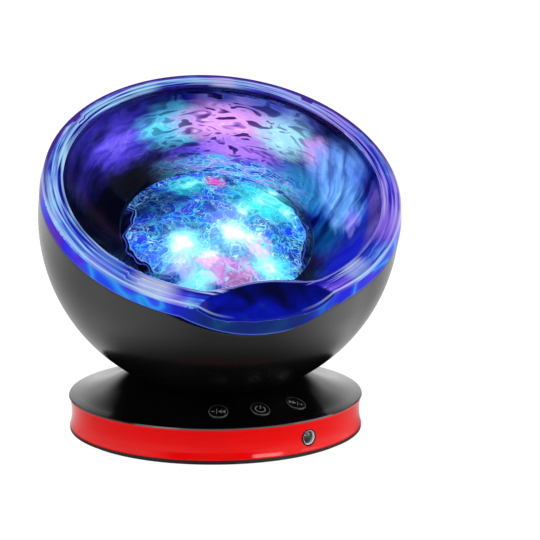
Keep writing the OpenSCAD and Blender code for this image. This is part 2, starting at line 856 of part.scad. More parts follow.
module motor_pinion() {
    color("#f0eee6") in_head() translate([0, gear_centres, 0]) {
        translate([0, 0, gear_under]) rotate([0, 0, -90]) linear_extrude(height = gear_t)
            polygon(gear_outline(pinion_teeth));
        rod(motor_shaft_r, motor_top - motor_shaft_in, gear_under + eps);
    }
}

base_top_cover();
base_band();
bottom_plate();
foot_ring();
base_screws();
main_board();
board_screws();
control_chip();
tact_switches();
ir_bezel();
ir_window();
ir_receiver();
power_socket();
speaker_frame();
speaker_cone();
speaker_magnet();
tilt_cradle();
friction_ring();
tilt_saddle();
saddle_spring();
saddle_nut();
minus_key();
power_key();
plus_key();
bowl_shell();
rim_ring();
wave_window();
light_well();
lamp_deck();
deck_screws();
led_board();
led_board_screws();
leds();
motor();
motor_screws();
ripple_lens();
output_shaft();
output_gear();
shaft_clip();
motor_pinion();
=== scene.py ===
# %% [markdown]
# # Ocean wave projector
# A child's night lamp: a black bowl that tilts on a round base and throws moving water light at the
# ceiling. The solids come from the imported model, which stays as it is. This lesson gives each of them its
# finish, and rebuilds the few shells whose rounded edges and moulded waves the eye would miss.

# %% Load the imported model
import json
import math

import bmesh
import bpy
from mathutils import Matrix, Vector


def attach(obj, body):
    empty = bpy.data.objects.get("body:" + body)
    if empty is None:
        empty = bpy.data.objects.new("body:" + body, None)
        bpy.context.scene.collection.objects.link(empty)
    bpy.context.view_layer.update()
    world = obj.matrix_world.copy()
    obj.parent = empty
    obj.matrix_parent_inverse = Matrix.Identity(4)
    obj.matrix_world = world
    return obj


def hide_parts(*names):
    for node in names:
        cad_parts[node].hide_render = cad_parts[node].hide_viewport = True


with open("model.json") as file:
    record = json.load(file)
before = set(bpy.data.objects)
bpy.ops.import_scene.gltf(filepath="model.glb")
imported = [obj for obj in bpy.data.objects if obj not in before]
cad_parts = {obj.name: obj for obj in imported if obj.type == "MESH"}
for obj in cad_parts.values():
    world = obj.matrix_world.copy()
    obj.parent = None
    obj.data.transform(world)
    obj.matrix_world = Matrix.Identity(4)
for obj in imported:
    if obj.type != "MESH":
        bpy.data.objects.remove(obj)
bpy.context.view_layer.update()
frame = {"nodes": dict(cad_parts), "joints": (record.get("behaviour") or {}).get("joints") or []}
nodes = frame["nodes"]
joints = {joint["name"]: joint for joint in frame["joints"]}
print("solids:", len(nodes), "joints:", sorted(joints))

# %% [markdown]
# ## Camera
# A long lens from about a metre keeps the bowl's circles nearly true ellipses. The camera is placed by a
# point that it stands on and a point that it looks at, so that it never rolls.

# %% Camera
camera_stands = Vector((-0.1894, -0.9602, 0.2653))
camera_looks = Vector((0.0230, -0.0033, 0.0675))
camera_data = bpy.data.cameras.new("product_camera")
camera_data.lens = 157.84
camera_data.sensor_width = 36
camera = bpy.data.objects.new("product_camera", camera_data)
camera.location = camera_stands
camera.rotation_euler = (camera_looks - camera_stands).to_track_quat("-Z", "Y").to_euler()
bpy.context.scene.collection.objects.link(camera)
bpy.context.scene.camera = camera
print("camera distance in metres:", round((camera_looks - camera_stands).length, 3))

# %% [markdown]
# ## Frames
# A round piece is easiest to draw upright, with its axis on Z. Each frame is the matrix that puts such a
# piece where the model has it: the lamp head leans about the bowl's centre, the clear ring and the base's
# panel are turned a little to the right. Lengths below are in millimetres, and become metres when a mesh is
# made.

# %% Frames
MM = 0.001
bowl_centre = Vector(joints["head_tilt"]["pos_m"])
lamp_axis = Vector(joints["lens_spin"]["axis"])
lean = math.atan2(-lamp_axis.y, lamp_axis.z)
ring_turn = math.radians(4.5)
panel_turn = math.radians(10.5)
head_frame = Matrix.Translation(bowl_centre) @ Matrix.Rotation(lean, 4, "X")
ring_frame = head_frame @ Matrix.Rotation(ring_turn, 4, "Z")
base_frame = Matrix.Rotation(panel_turn, 4, "Z")
print("the head leans by", round(math.degrees(lean), 1), "degrees")

# %% [markdown]
# ## Turned shells
# Most pieces are turned: a section is drawn at each angle, and neighbouring sections are joined by quads.
# Because the section may change with the angle, the same helper also makes a rim that dips at the front.
# Angles start at the front, -Y, and run to the right.

# %% Turned shells
TURNS = 360

def corner(points, turn=8):
    """Rounds a section given as (radius, height, fillet) corners."""
    rounded = []
    for i, (r, z, fillet) in enumerate(points):
        here = Vector((r, z))
        if not fillet:
            rounded.append((r, z))
            continue
        before = Vector(points[i - 1][:2]) - here
        after = Vector(points[(i + 1) % len(points)][:2]) - here
        half = before.angle(after) / 2
        reach = min(fillet / math.tan(half), before.length * 0.49, after.length * 0.49)
        start, end = here + before.normalized() * reach, here + after.normalized() * reach
        for k in range(turn + 1):
            t = k / turn
            rounded.append(tuple(start * (1 - t) ** 2 + here * 2 * t * (1 - t) + end * t ** 2))
    return rounded

def stand(name, shape, place=Matrix()):
    """Makes an object of a finished bmesh, at a place."""
    mesh = bpy.data.meshes.new(name)
    shape.to_mesh(mesh)
    shape.free()
    piece = bpy.data.objects.new(name, mesh)
    bpy.context.scene.collection.objects.link(piece)
    piece.matrix_world = place
    return piece

def smooth(piece, sharp=35):
    """Shades a piece smooth and keeps edges above an angle crisp."""
    piece.data.shade_smooth()
    piece.data.set_sharp_from_angle(angle=math.radians(sharp))

def turned(name, section, place, closed=True, turns=TURNS):
    """Joins section(angle), a list of (radius, height) in mm, into a smooth round mesh."""
    shape = bmesh.new()
    rows = []
    for i in range(turns):
        angle = 2 * math.pi * i / turns
        rows.append([shape.verts.new((MM * r * math.sin(angle), -MM * r * math.cos(angle), MM * z))
                     for r, z in section(angle)])
    count = len(rows[0])
    for i in range(turns):
        here, there = rows[i], rows[(i + 1) % turns]
        for k in range(count if closed else count - 1):
            shape.faces.new((here[k], there[k], there[(k + 1) % count], here[(k + 1) % count]))
    bmesh.ops.remove_doubles(shape, verts=shape.verts, dist=1e-6)
    bmesh.ops.recalc_face_normals(shape, faces=shape.faces)
    piece = stand(name, shape, place)
    smooth(piece)
    return piece

print("a turned piece has", TURNS, "sections")

# %% [markdown]
# ## Cuts and fitting
# Slots and holes are cut with prisms, each an outline raised from one height to another. A finished piece
# is settled where it stands, hung on the body that it moves with, and takes the place of the plain solid.

# %% Cuts and fitting
def prism(name, outline, low, high, place):
    """A cutter: an outline in mm, raised from one height to another."""
    shape = bmesh.new()
    foot = [shape.verts.new((MM * x, MM * y, MM * low)) for x, y in outline]
    head = [shape.verts.new((MM * x, MM * y, MM * high)) for x, y in outline]
    shape.faces.new(reversed(foot))
    shape.faces.new(head)
    for k in range(len(outline)):
        nxt = (k + 1) % len(outline)
        shape.faces.new((foot[k], foot[nxt], head[nxt], head[k]))
    return stand(name, shape, place)

def cut(piece, *cutters):
    """Takes the cutters out of a piece, and keeps the result as plain mesh."""
    for cutter in cutters:
        tool = piece.modifiers.new("cut", "BOOLEAN")
        tool.operation, tool.solver, tool.object = "DIFFERENCE", "EXACT", cutter
    bpy.context.view_layer.update()
    done = piece.evaluated_get(bpy.context.evaluated_depsgraph_get())
    result = bpy.data.meshes.new_from_object(done)
    piece.modifiers.clear()
    piece.data = result
    for cutter in cutters:
        bpy.data.objects.remove(cutter)
    smooth(piece)

def disc(radius, count=64):
    """A round outline."""
    return [(radius * math.cos(2 * math.pi * k / count), radius * math.sin(2 * math.pi * k / count))
            for k in range(count)]

def fit(piece, body, slot, *replaced):
    """Settles a piece where it stands, hangs it on its body and hides the solid that it stands for."""
    piece.data.transform(piece.matrix_world)
    piece.matrix_world = Matrix()
    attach(piece, body)
    if replaced:
        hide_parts(*replaced)
    print(piece.name, "rides on", body, "with", len(piece.data.polygons), "faces")

print("a round hole is cut with", len(disc(1.0)), "sides or more")

# %% [markdown]
# ## Sizes of the lamp head
# The ring's top is a flat band that rises a little to the window, and the window is a shallow dome. A
# scoop, which is a wide hollow curve that falls towards the front, cuts across both. `top_at` gives the
# uncut top, `scoop_at` the scoop, and the lower of the two is what the hand would feel.

# %% Sizes of the lamp head
bowl_r, bowl_wall, lip_h = 75.0, 2.5, 10.3
ring_top, ring_r, eye_r, eye_top, ring_t = 16.8, 74.0, 65.8, 17.6, 2.5
window_rise, window_t, window_gap = 9.0, 2.0, 0.2
scoop_r, scoop_fall, scoop_reach, scoop_over, scoop_band = 330.0, math.radians(28.7), 60.6, 1.3, 7.2
scoop_flat, scoop_climb, scoop_from = 22.0, 0.35, 20.0
far_above = 99.0
window_curve = (eye_r ** 2 + window_rise ** 2) / (2 * window_rise)

def top_at(r):
    """Height of the uncut top at a radius: flat ring outside, dome inside."""
    if r >= eye_r:
        return eye_top - (r - eye_r) * (eye_top - ring_top) / (ring_r - eye_r)
    return eye_top + window_rise - window_curve + math.sqrt(window_curve ** 2 - r ** 2)

def scoop_line(v):
    """Height of the scoop's middle line at a distance in front of the axis."""
    return eye_top + scoop_over - math.tan(scoop_fall) * (v - scoop_reach)

def scoop_at(r, angle):
    """Height of the scoop's surface: flat across its middle, climbing at both ends."""
    u, v = r * math.sin(angle), r * math.cos(angle)
    if v < scoop_from:
        return far_above
    beyond = abs(u) - scoop_flat
    rise = scoop_climb * (math.hypot(beyond, 2) + beyond) / 2
    return scoop_line(v) + rise

def within(value):
    """A value held between nought and one."""
    return min(1.0, max(0.0, value))

def soft_min(a, b, blend=0.5):
    """The lower of two heights, with the crease between them rounded."""
    share = max(blend - abs(a - b), 0) / blend
    return min(a, b) - share * share * blend / 4

def lip_at(angle):
    """Height of the bowl's lip, which dips under the scoop in one wide curve."""
    u, v = bowl_r * math.sin(angle), bowl_r * math.cos(angle)
    if v < scoop_from:
        return lip_h
    rise = (scoop_r - math.sqrt(scoop_r ** 2 - u ** 2)) / math.cos(scoop_fall)
    return min(lip_h, scoop_line(v) + rise - scoop_band)

def window_edge(angle):
    """Radius at which the window's dome ends: on its circle, or sooner at the scoop."""
    low, high = 45.0, 90.0
    for _ in range(30):
        mid = (low + high) / 2
        low, high = (mid, high) if scoop_at(mid, angle) > top_at(mid) else (low, mid)
    return soft_min(eye_r, low, blend=5.0)

print("scoop meets the dome at", round(window_edge(0), 1), "mm from the axis")

# %% [markdown]
# ## Finishes
# A finish is a small node tree round Blender's Principled shader. `colour` turns a given sRGB hex code into
# the linear numbers that light works with, and `add` makes one node with its settings and links. Blender's
# names for these nodes all start with ShaderNode, so `add` is told only the rest.

# %% Helpers for finishes
def colour(code):
    """Linear colour of an sRGB hex code."""
    parts = [int(code[i:i + 2], 16) / 255 for i in (1, 3, 5)]
    return (*[p / 12.92 if p <= 0.04045 else ((p + 0.055) / 1.055) ** 2.4 for p in parts], 1.0)

def first_output(source):
    """A node's first output in use; a socket or a value stays as it is."""
    return next(o for o in source.outputs if o.enabled) if isinstance(source, bpy.types.Node) else source

def add(finish, kind, links=None, stops=None, **settings):
    """One node: its settings, its socket values or links, and a ramp's colour stops."""
    made = finish.node_tree.nodes.new("ShaderNode" + kind)
    for name, value in settings.items():
        setattr(made, name, value)
    for socket, value in (links or {}).items():
        value = first_output(value)
        if isinstance(value, bpy.types.NodeSocket):
            finish.node_tree.links.new(value, made.inputs[socket])
        else:
            made.inputs[socket].default_value = value
    if stops:
        ramp = made.color_ramp.elements
        while len(ramp) < len(stops):
            ramp.new(0.5)
        for element, (at, code) in zip(ramp, stops):
            element.position, element.color = at, colour(code)
    return made

def finish_of(name, sockets):
    """A new finish with its plain values set on the shader's own sockets."""
    finish = bpy.data.materials.new(name)
    finish.use_nodes = True
    shader = finish.node_tree.nodes["Principled BSDF"]
    for socket, value in sockets.items():
        shader.inputs[socket].default_value = value
    return finish, shader

def wire(finish, source, target):
    """Links a node's first output in use, or a socket, to a socket."""
    finish.node_tree.links.new(first_output(source), target)

def in_head(finish):
    """Coordinates in the lamp head's own upright frame, with the bowl's centre at zero."""
    place = add(finish, "TexCoord").outputs["Object"]
    return add(finish, "Mapping", {"Vector": place, "Location": bowl_centre, "Rotation": (lean, 0, 0)},
               vector_type="TEXTURE")

def dress(finish, *names):
    """Gives carried-over solids a finish."""
    for name in names:
        nodes[name].data.materials.clear()
        nodes[name].data.materials.append(finish)

print("mid grey is", round(colour("#808080")[0], 3), "of the light")

# %% [markdown]
# ## Patterns
# A few small groups of nodes come again and again: a noise with its colours, coordinates that a noise
# pushes about, a soft spot, and a soft line where something passes a value.

# %% Patterns
def marbled(finish, place, size_mm, detail, stops):
    """Noise of one real size, coloured by stops."""
    noise = add(finish, "TexNoise", {"Vector": place, "Scale": 1 / (size_mm * MM), "Detail": detail})
    return add(finish, "ValToRGB", {"Fac": noise}, stops)

def pushed(finish, place, size_mm, reach_mm, detail=3.0):
    """Coordinates moved about by noise of one size, by up to half a reach each way."""
    noise = add(finish, "TexNoise", {"Vector": place, "Scale": 1 / (size_mm * MM), "Detail": detail})
    noise = add(finish, "VectorMath", {0: noise.outputs["Color"], 1: (0.5, 0.5, 0.5)}, operation="SUBTRACT")
    return add(finish, "VectorMath", {0: noise, 1: (reach_mm * MM,) * 3, 2: place}, operation="MULTIPLY_ADD")

def near(finish, place, spot, reach, full=0.25):
    """One at a spot, falling softly to nought at a reach."""
    away = add(finish, "VectorMath", {0: place, 1: spot}, operation="DISTANCE")
    return add(finish, "MapRange", {
        "Value": away, "From Min": reach * full, "From Max": reach, "To Min": 1.0, "To Max": 0.0},
        interpolation_type="SMOOTHSTEP")

def thread(finish, noise, width, middle=0.5, strength=1.0):
    """One along the curve where a noise, or another value, passes a middle, and nought beside it."""
    off = add(finish, "Math", {0: noise, 1: middle}, operation="SUBTRACT")
    off = add(finish, "Math", {0: off}, operation="ABSOLUTE")
    return add(finish, "MapRange", {
        "Value": off, "From Min": 0.0, "From Max": width, "To Min": strength, "To Max": 0.0},
        interpolation_type="SMOOTHSTEP")

print("patterns:", [f.__name__ for f in (marbled, pushed, near, thread)])

# %% [markdown]
# ## Moulded ABS
# The bowl, the base and the keys are injection-moulded ABS (IOR 1.53). The tool is polished, so the skin is
# satin gloss, with a faint orange peel about 3 mm across and a grain of roughness. The colours differ, the
# skin doesn't, so one recipe serves all of them.

# %% Moulded ABS
def moulded_abs(name, shade, deep, roughness, level=0.5, peel_mm=3.0, peel=0.03):
    """Satin or gloss moulded skin: two close shades, varied gloss and a faint orange peel."""
    finish, shader = finish_of(name, {"IOR": 1.53, "Metallic": 0.0, "Specular IOR Level": level})
    place = add(finish, "TexCoord").outputs["Object"]
    tint = marbled(finish, place, 25, 3.0, [(0.3, deep), (0.7, shade)])
    grain = add(finish, "TexNoise", {"Vector": place, "Scale": 1 / (0.9 * MM), "Detail": 2.0})
    gloss = add(finish, "MapRange", {"Value": grain, "From Min": 0.3, "From Max": 0.7,
                                     "To Min": roughness * 0.85, "To Max": roughness * 1.15})
    skin = add(finish, "TexNoise", {"Vector": place, "Scale": 1 / (peel_mm * MM), "Detail": 1.0})
    bump = add(finish, "Bump", {"Height": skin, "Strength": peel, "Distance": 0.2 * MM})
    wire(finish, tint, shader.inputs["Base Color"])
    wire(finish, gloss, shader.inputs["Roughness"])
    wire(finish, bump, shader.inputs["Normal"])
    return finish

black_abs = moulded_abs("moulded_abs_black_satin", "#050506", "#030304", 0.12, level=0.4)
bowl_abs = moulded_abs("moulded_abs_black_gloss", "#0a0a0b", "#070708", 0.22)
red_abs = moulded_abs("moulded_abs_red_gloss", "#da0404", "#d20303", 0.1, level=0.2)
key_abs = moulded_abs("moulded_abs_black_keys", "#09090a", "#060607", 0.24, level=0.35)
dark_abs = moulded_abs("moulded_abs_grey_inner", "#1c1c1f", "#161618", 0.45)
white_abs = moulded_abs("moulded_abs_white_deck", "#e9e9e6", "#dedcd8", 0.4)
print("ABS finishes:", [f.name for f in (black_abs, bowl_abs, red_abs, key_abs, dark_abs, white_abs)])

# %% [markdown]
# ## Bowl
# The bowl is half a ball with a short straight wall, 2.5 mm thick, open at the top and slotted underneath
# for the sprung post that holds it on its seat. A sphere primitive would have no thickness or lip, so the
# section is drawn: up the outside, over a rounded lip and down the inside. The lip dips at the front where
# the scoop falls across it.

# %% Bowl
def bowl_section(angle):
    """Up the outside, over the rounded lip and down the inside."""
    lip, fillet, bands = lip_at(angle), 0.6, 48
    outside = [(bowl_r * math.sin(math.pi / 2 * k / bands), -bowl_r * math.cos(math.pi / 2 * k / bands))
               for k in range(bands)]
    outside += [(bowl_r, (lip - fillet) * k / 6) for k in range(7)]
    over = [(bowl_r - fillet * (1 - math.cos(a)), lip - fillet * (1 - math.sin(a)))
            for a in [math.pi / 2 * k / 6 for k in range(1, 7)]]
    inner = bowl_r - bowl_wall
    inside = [(inner, lip), (inner, lip * 0.5)]
    inside += [(inner * math.cos(math.pi / 2 * k / bands), -inner * math.sin(math.pi / 2 * k / bands))
               for k in range(bands + 1)]
    return outside + over + inside

bowl = turned("bowl", bowl_section, head_frame, closed=False)
slot_half, slot_from, slot_to = 5.6, math.radians(12.7), math.radians(36.7)
slot_more = slot_half / bowl_r
slot_in, slot_out = 66.0, 90.0
slot_corners = ((slot_in, slot_from - slot_more), (slot_out, slot_from - slot_more),
                (slot_out, slot_to + slot_more), (slot_in, slot_to + slot_more))
slot_fan = [(d * math.sin(a), -d * math.cos(a)) for d, a in slot_corners]
slot_turn = Matrix.Rotation(math.radians(-90), 4, "Z") @ Matrix.Rotation(math.radians(90), 4, "X")
cut(bowl, prism("slot_cutter", slot_fan, -slot_half, slot_half, head_frame @ slot_turn))
bowl.data.materials.append(bowl_abs)
fit(bowl, "head", "bowl_abs", "bowl_shell")

# %% [markdown]
# ## Clear ring
# The rim is one clear acrylic moulding: an outer wall, a flat top and, at the front, the scooped facet. The
# lamps below light it through its edge, so the wall glows blue and violet and the flat top shows pale
# streaks. Each vertex stores two colours that the finish reads: `zone` says whether it is on the wall or
# the facet, and `line` how near it is to an edge where the light leaves as a bright line.

# %% Clear ring
WALL, TOP = 10, 36
tab_angles = [math.radians(a) for a in (45, 135, 225, 315)]
tab_half, tab_in, tab_out, tab_depth = 2.9, 67.9, 72.1, 1.3
skirt_r, skirt_in, skirt_drop = bowl_r - bowl_wall - 0.2, bowl_r - bowl_wall - 2.5, 4.0

def notch_at(r, angle):
    """Depth of the four snap notches in the flat top."""
    aside = min(abs(math.remainder(angle - a, 2 * math.pi)) for a in tab_angles) * r
    return tab_depth if aside < tab_half and tab_in < r < tab_out else 0.0

def ring_top_at(r, angle):
    """Height of the ring's top: the flat, or the scoop where that is lower."""
    return soft_min(top_at(r), scoop_at(r, angle))

def ring_section(angle):
    """Up the wall, over its rounded edge, in along the top and back along the underside."""
    lip, fillet = lip_at(angle) + 0.05, 0.7
    edge = ring_top_at(ring_r, angle)
    wall_r = bowl_r - (bowl_r - ring_r) * max(0, edge - lip_h) / (ring_top - lip_h)
    inner_edge = window_edge(angle)
    wall = [(bowl_r + (wall_r - bowl_r) * k / WALL, lip + (edge - fillet - lip) * k / WALL)
            for k in range(WALL)]
    over = []
    for a in [math.pi / 2 * k / 6 for k in range(7)]:
        r = wall_r - fillet * (1 - math.cos(a))
        over.append((r, ring_top_at(r, angle) - fillet * (1 - math.sin(a))))
    start = over[-1][0]
    flat = []
    for k in range(1, TOP + 1):
        r = start + (inner_edge - start) * k / TOP
        flat.append((r, ring_top_at(r, angle) - notch_at(r, angle)))
    low, shelf = flat[-1][1] - ring_t, ring_top_at(skirt_in, angle) - ring_t
    under = [(inner_edge, low), ((inner_edge + skirt_in) / 2, (low + shelf) / 2), (skirt_in, shelf),
             (skirt_in, lip - skirt_drop), (skirt_r, lip - skirt_drop), (skirt_r, lip)]
    return wall + over + flat + under

ring = turned("clear_ring", ring_section, ring_frame, turns=720)
print("ring sections have", len(ring_section(0)), "points")

# %% Clear ring: zones and bright edges
for name in ("zone", "line"):
    ring.data.color_attributes.new(name, "FLOAT_COLOR", "POINT")
zones, lines = (ring.data.color_attributes[name].data for name in ("zone", "line"))
for vertex, zone, line in zip(ring.data.vertices, zones, lines):
    x, y, z = vertex.co / MM
    r, angle = math.hypot(x, y), math.atan2(x, -y)
    uncut = top_at(r) - scoop_at(r, angle)
    on_top = z > ring_top_at(r, angle) - 1.6 and r < bowl_r - 0.9 + 0.6 * (uncut > 0)
    zone.color = (0.0 if on_top else 1.0, 0.0, within(uncut / 0.3) if on_top else 0.0, 1.0)
    aside = abs(angle)
    tip = within((aside - 0.18) / 0.3) * within(2.1 - aside)
    front = min(1.0, max(0.25, 1.5 - aside))
    line.color = (tip * max(0.0, 1 - math.hypot(r - ring_r + 0.2, z - ring_top_at(ring_r, angle)) / 0.6),
                  front * max(0.0, 1 - abs(z - lip_at(angle)) / 0.7) if r > bowl_r - 0.5 else 0.0,
                  front * max(0.0, 1 - abs(r - window_edge(angle) - 0.4) / 0.35), 1.0)
fit(ring, "head", "clear_ring", "rim_ring")

# %% [markdown]
# ## Window and ripple lens
# The window is a thin clear dome over the lamps. Under it turns the ripple lens, a disc of clear acrylic
# whose top is moulded in waves; they bend the light of the lamps into the moving net that water throws on a
# wall. The waves are real height here: a few crossing sines, with their crests sharpened.

# %% Window
flange_high, flange_low, flange_reach, flange_t = 15.0, 13.1, 4.0, 0.8

def window_section(angle):
    """The dome, and where the ring covers it a flange that holds it."""
    edge = window_edge(angle) - window_gap
    held = within(edge - eye_r + 1.2)
    rows = [edge * k / 40 for k in range(41)]
    foot = top_at(edge) - window_t
    high = foot + flange_t + (flange_high - foot - flange_t) * held
    low, reach = foot + (flange_low - foot) * held, flange_reach * held
    over = [(r, top_at(r)) for r in rows]
    under = [(r - 0.4 * r / edge, top_at(r) - window_t) for r in reversed(rows)]
    return over + [(edge, high), (edge + reach, high), (edge + reach, low), (edge - 0.4, low)] + under

window = turned("wave_window_dome", window_section, ring_frame, closed=False)
fit(window, "head", "clear_window", "wave_window")

# %% Ripple lens
lens_r, lens_low, lens_edge, lens_rise, lens_lap = 39.0, -12.0, 2.5, 9.0, 1.2
hub_r, hub_low, bore_r, bore_top = 6, -16.1, 2.5, -8
lens_curve = (lens_r ** 2 + lens_rise ** 2) / (2 * lens_rise)

def waves(x, y):
    """Height of the moulded waves: crossing sines with narrow crests, in mm."""
    sway = 3 * math.sin(0.11 * y + 1.0) + 2 * math.sin(0.19 * x - 0.6)
    a = 1 - abs(math.sin(0.16 * (x + sway) + 0.05 * y))
    b = 1 - abs(math.sin(0.15 * (0.5 * x - 0.86 * y + sway) + 0.9))
    c = 1 - abs(math.sin(0.13 * (0.5 * x + 0.86 * y - sway) + 2.1))
    return 0.9 * (a * a + b * b + c * c) / 3 + 0.15 * math.sin(0.7 * x + 0.4 * y) - 0.3

def lens_section(angle):
    """Out over the waves to the rim, and back under the disc to the hub and its bore."""
    rim = lens_r + lens_lap
    rows = [rim * k / 90 for k in range(91)]
    over = []
    for r in rows:
        dome = lens_low + lens_edge + lens_rise - lens_curve + math.sqrt(lens_curve ** 2 - r * r)
        fade = min(1, (rim - r) / 3)
        over.append((r, dome - 0.6 + 1.6 * waves(r * math.sin(angle), -r * math.cos(angle)) * fade))
    under = [(rim, lens_low + 1), (rim - 0.6, lens_low), (hub_r, lens_low), (hub_r, hub_low),
             (bore_r, hub_low), (bore_r, bore_top), (0, bore_top)]
    return over + under

lens = turned("rippled_lens", lens_section, head_frame, closed=False)
fit(lens, "lens_rotor", "ripple_acrylic", "ripple_lens")

# %% [markdown]
# ## Base shells
# The cover is one hollow sweep, an arc of 60 mm radius that climbs from the edge to the bowl. At the front
# and the sides it runs on until it meets the bowl's ball, and at the back it ends in a short collar that is
# cut to the ball. So the neck changes all the way round, and the section is worked out at each angle. A
# narrow rounding along the edge catches the light. The red band below is slightly hollow. Three round holes
# for the keys, one for the receiver and one for the power socket are cut last.

# %% Base cover
base_r, edge_z, cover_t, neck_r = 62.3, 15.5, 2.2, 38.0
edge_slope, flare_r = math.atan(0.14), 60.0
flare_x, flare_z = base_r + flare_r * math.sin(edge_slope), edge_z + flare_r * math.cos(edge_slope)
seat_r = bowl_r + 0.3
rim_in, rim_out, rim_low, rim_step, shoulder = 57.9, 59.4, 12.6, 0.6, base_r - 4
key_circle, key_step, key_r, key_gap = 49.2, math.radians(20.4), 4.1, 0.3
ir_angle, ir_z, ir_hole = math.radians(16.6), 7.8, 3.6

def cover_at(r, under=0.0):
    """Height of the cover's sweep at a radius, or of the curve a wall thickness under it."""
    return flare_z - math.sqrt((flare_r + under) ** 2 - (flare_x - r) ** 2)

def seat_at(r, angle):
    """Height at which the collar meets the bowl's ball."""
    x, y = r * math.sin(angle), -r * math.cos(angle)
    down = seat_r ** 2 - x * x - (y - bowl_centre.y / MM) ** 2
    return bowl_centre.z / MM - math.sqrt(down)

def neck_at(angle):
    """Radius of the neck: where the sweep meets the ball, and the collar's own radius at the back."""
    low, high = 28.0, neck_r
    for _ in range(30):
        mid = (low + high) / 2
        low, high = (low, mid) if seat_at(mid, angle) > cover_at(mid) else (mid, high)
    back = within((abs(math.remainder(angle, 2 * math.pi)) - 1.3) / 1.4)
    return low + (neck_r - low) * back * back * (3 - 2 * back)

def cover_section(angle):
    """In along the sweep to the neck, and back along the underside to a rim inside the band."""
    neck, steps = neck_at(angle), 24
    inside = neck - cover_t
    edge = corner([(base_r, edge_z - rim_step, 0), (base_r - 0.3, cover_at(base_r - 0.3), 0.3),
                   (shoulder, cover_at(shoulder), 0)])
    radii = [shoulder + (neck - shoulder) * k / steps for k in range(1, steps + 1)]
    sweep = [(r, min(cover_at(r), seat_at(r, angle) - 0.02)) for r in radii]
    foot = [(max(r, inside), min(cover_at(max(r, inside), cover_t), seat_at(r, angle) - 0.6))
            for r in reversed(radii)]
    high = max(seat_at(neck, angle) - 0.3, sweep[-1][1])
    collar = [(neck, (sweep[-1][1] + high) / 2), (neck, high), (neck - 0.2, high + 0.15),
              (inside, max(seat_at(inside, angle), foot[0][1]))]
    rim = [(rim_in, cover_at(rim_in, cover_t)), (rim_in, rim_low), (rim_out, rim_low),
           (rim_out, edge_z - rim_step)]
    return edge + sweep + collar + foot + rim

cover = turned("base_cover", cover_section, Matrix())
to_circle = Matrix.Translation((0, -key_circle * MM, 0))
key_places = [base_frame @ Matrix.Rotation(step * key_step, 4, "Z") @ to_circle for step in (-1, 0, 1)]
cut(cover, *[prism("key_hole", disc(key_r + key_gap, 96), 12, 26, place) for place in key_places])
cover.data.materials.append(black_abs)
fit(cover, "base", "black_abs", "base_top_cover")

# %% Base band
band_r, band_low, band_high, band_in, hollow = 62.1, 1.7, 14.9, 59.6, 1.0

def band_section(angle):
    """The hollow face from its foot to its top, and the straight inside."""
    middle, half = (band_low + band_high) / 2, (band_high - band_low) / 2
    curve = (half ** 2 + hollow ** 2) / (2 * hollow)
    face = []
    for k in range(25):
        z = band_low + (band_high - band_low) * k / 24
        face.append((band_r - hollow + curve - math.sqrt(curve ** 2 - (z - middle) ** 2), z))
    face[0], face[-1] = (face[0][0] - 0.25, face[0][1]), (face[-1][0] - 0.25, face[-1][1])
    return face + [(band_in, band_high), (band_in, band_low)]

band = turned("base_band_shell", band_section, Matrix())
to_front = Matrix.Rotation(math.radians(90), 4, "X")
ir_place = base_frame @ Matrix.Rotation(ir_angle, 4, "Z") @ Matrix.Translation((0, 0, ir_z * MM)) @ to_front
socket_z, socket_half_w, socket_half_h = 8, 4.65, 2.35
half_turn = Matrix.Rotation(math.pi, 4, "Z")
socket_place = base_frame @ half_turn @ Matrix.Translation((0, 0, socket_z * MM)) @ to_front
socket_hole = [(socket_half_w * sx, socket_half_h * sy) for sx, sy in ((-1, -1), (1, -1), (1, 1), (-1, 1))]
cut(band, prism("receiver_hole", disc(ir_hole, 72), 50, 70, ir_place),
    prism("socket_hole", socket_hole, 50, 70, socket_place))
band.data.materials.append(red_abs)
fit(band, "base", "red_abs", "base_band")

# %% [markdown]
# ## Keys
# Each key is a short plunger: a round cap that follows the cover's slope and stands 0.4 mm proud, a flange
# that stops it under the cover, and a stem over its switch. The grey ring and sign on top are pad-printed
# ink, which is a film of real thickness, so it is a thin solid just above the cap.

# %% Keys
key_bodies = ("minus_key", "power_key", "plus_key")
key_proud, cap_flat = 0.4, 3.75
stem_r, stem_low, stop_r, stop_low, stop_high = 2.2, 12.2, 5.2, 13.2, 14.4

def key_top(x, y):
    """Height of a key's cap at a point beside its centre."""
    return cover_at(math.hypot(x, y - key_circle)) + key_proud

def key_section(angle):
    """Stem, stop and cap, whose rounded top follows the cover."""
    def top(r):
        """Height of the cap at a radius, along this angle."""
        return key_top(r * math.sin(angle), -r * math.cos(angle))

    fillet = 0.35
    foot = [(0, stem_low), (stem_r, stem_low), (stem_r, stop_low), (stop_r, stop_low), (stop_r, stop_high),
            (key_r, stop_high)]
    edge = [(key_r - fillet * (1 - math.cos(a)), top(key_r) - fillet * (1 - math.sin(a)))
            for a in [math.pi / 2 * k / 5 for k in range(6)]]
    return foot + edge + [(r, top(r)) for r in [cap_flat * k / 8 for k in range(8, -1, -1)]]

for body, place in zip(key_bodies, key_places):
    key = turned(body + "_cap", key_section, place, closed=False, turns=96)
    key.data.materials.append(key_abs)
    fit(key, body, "key_abs", body)

# %% Signs on the keys
INK = 0.05

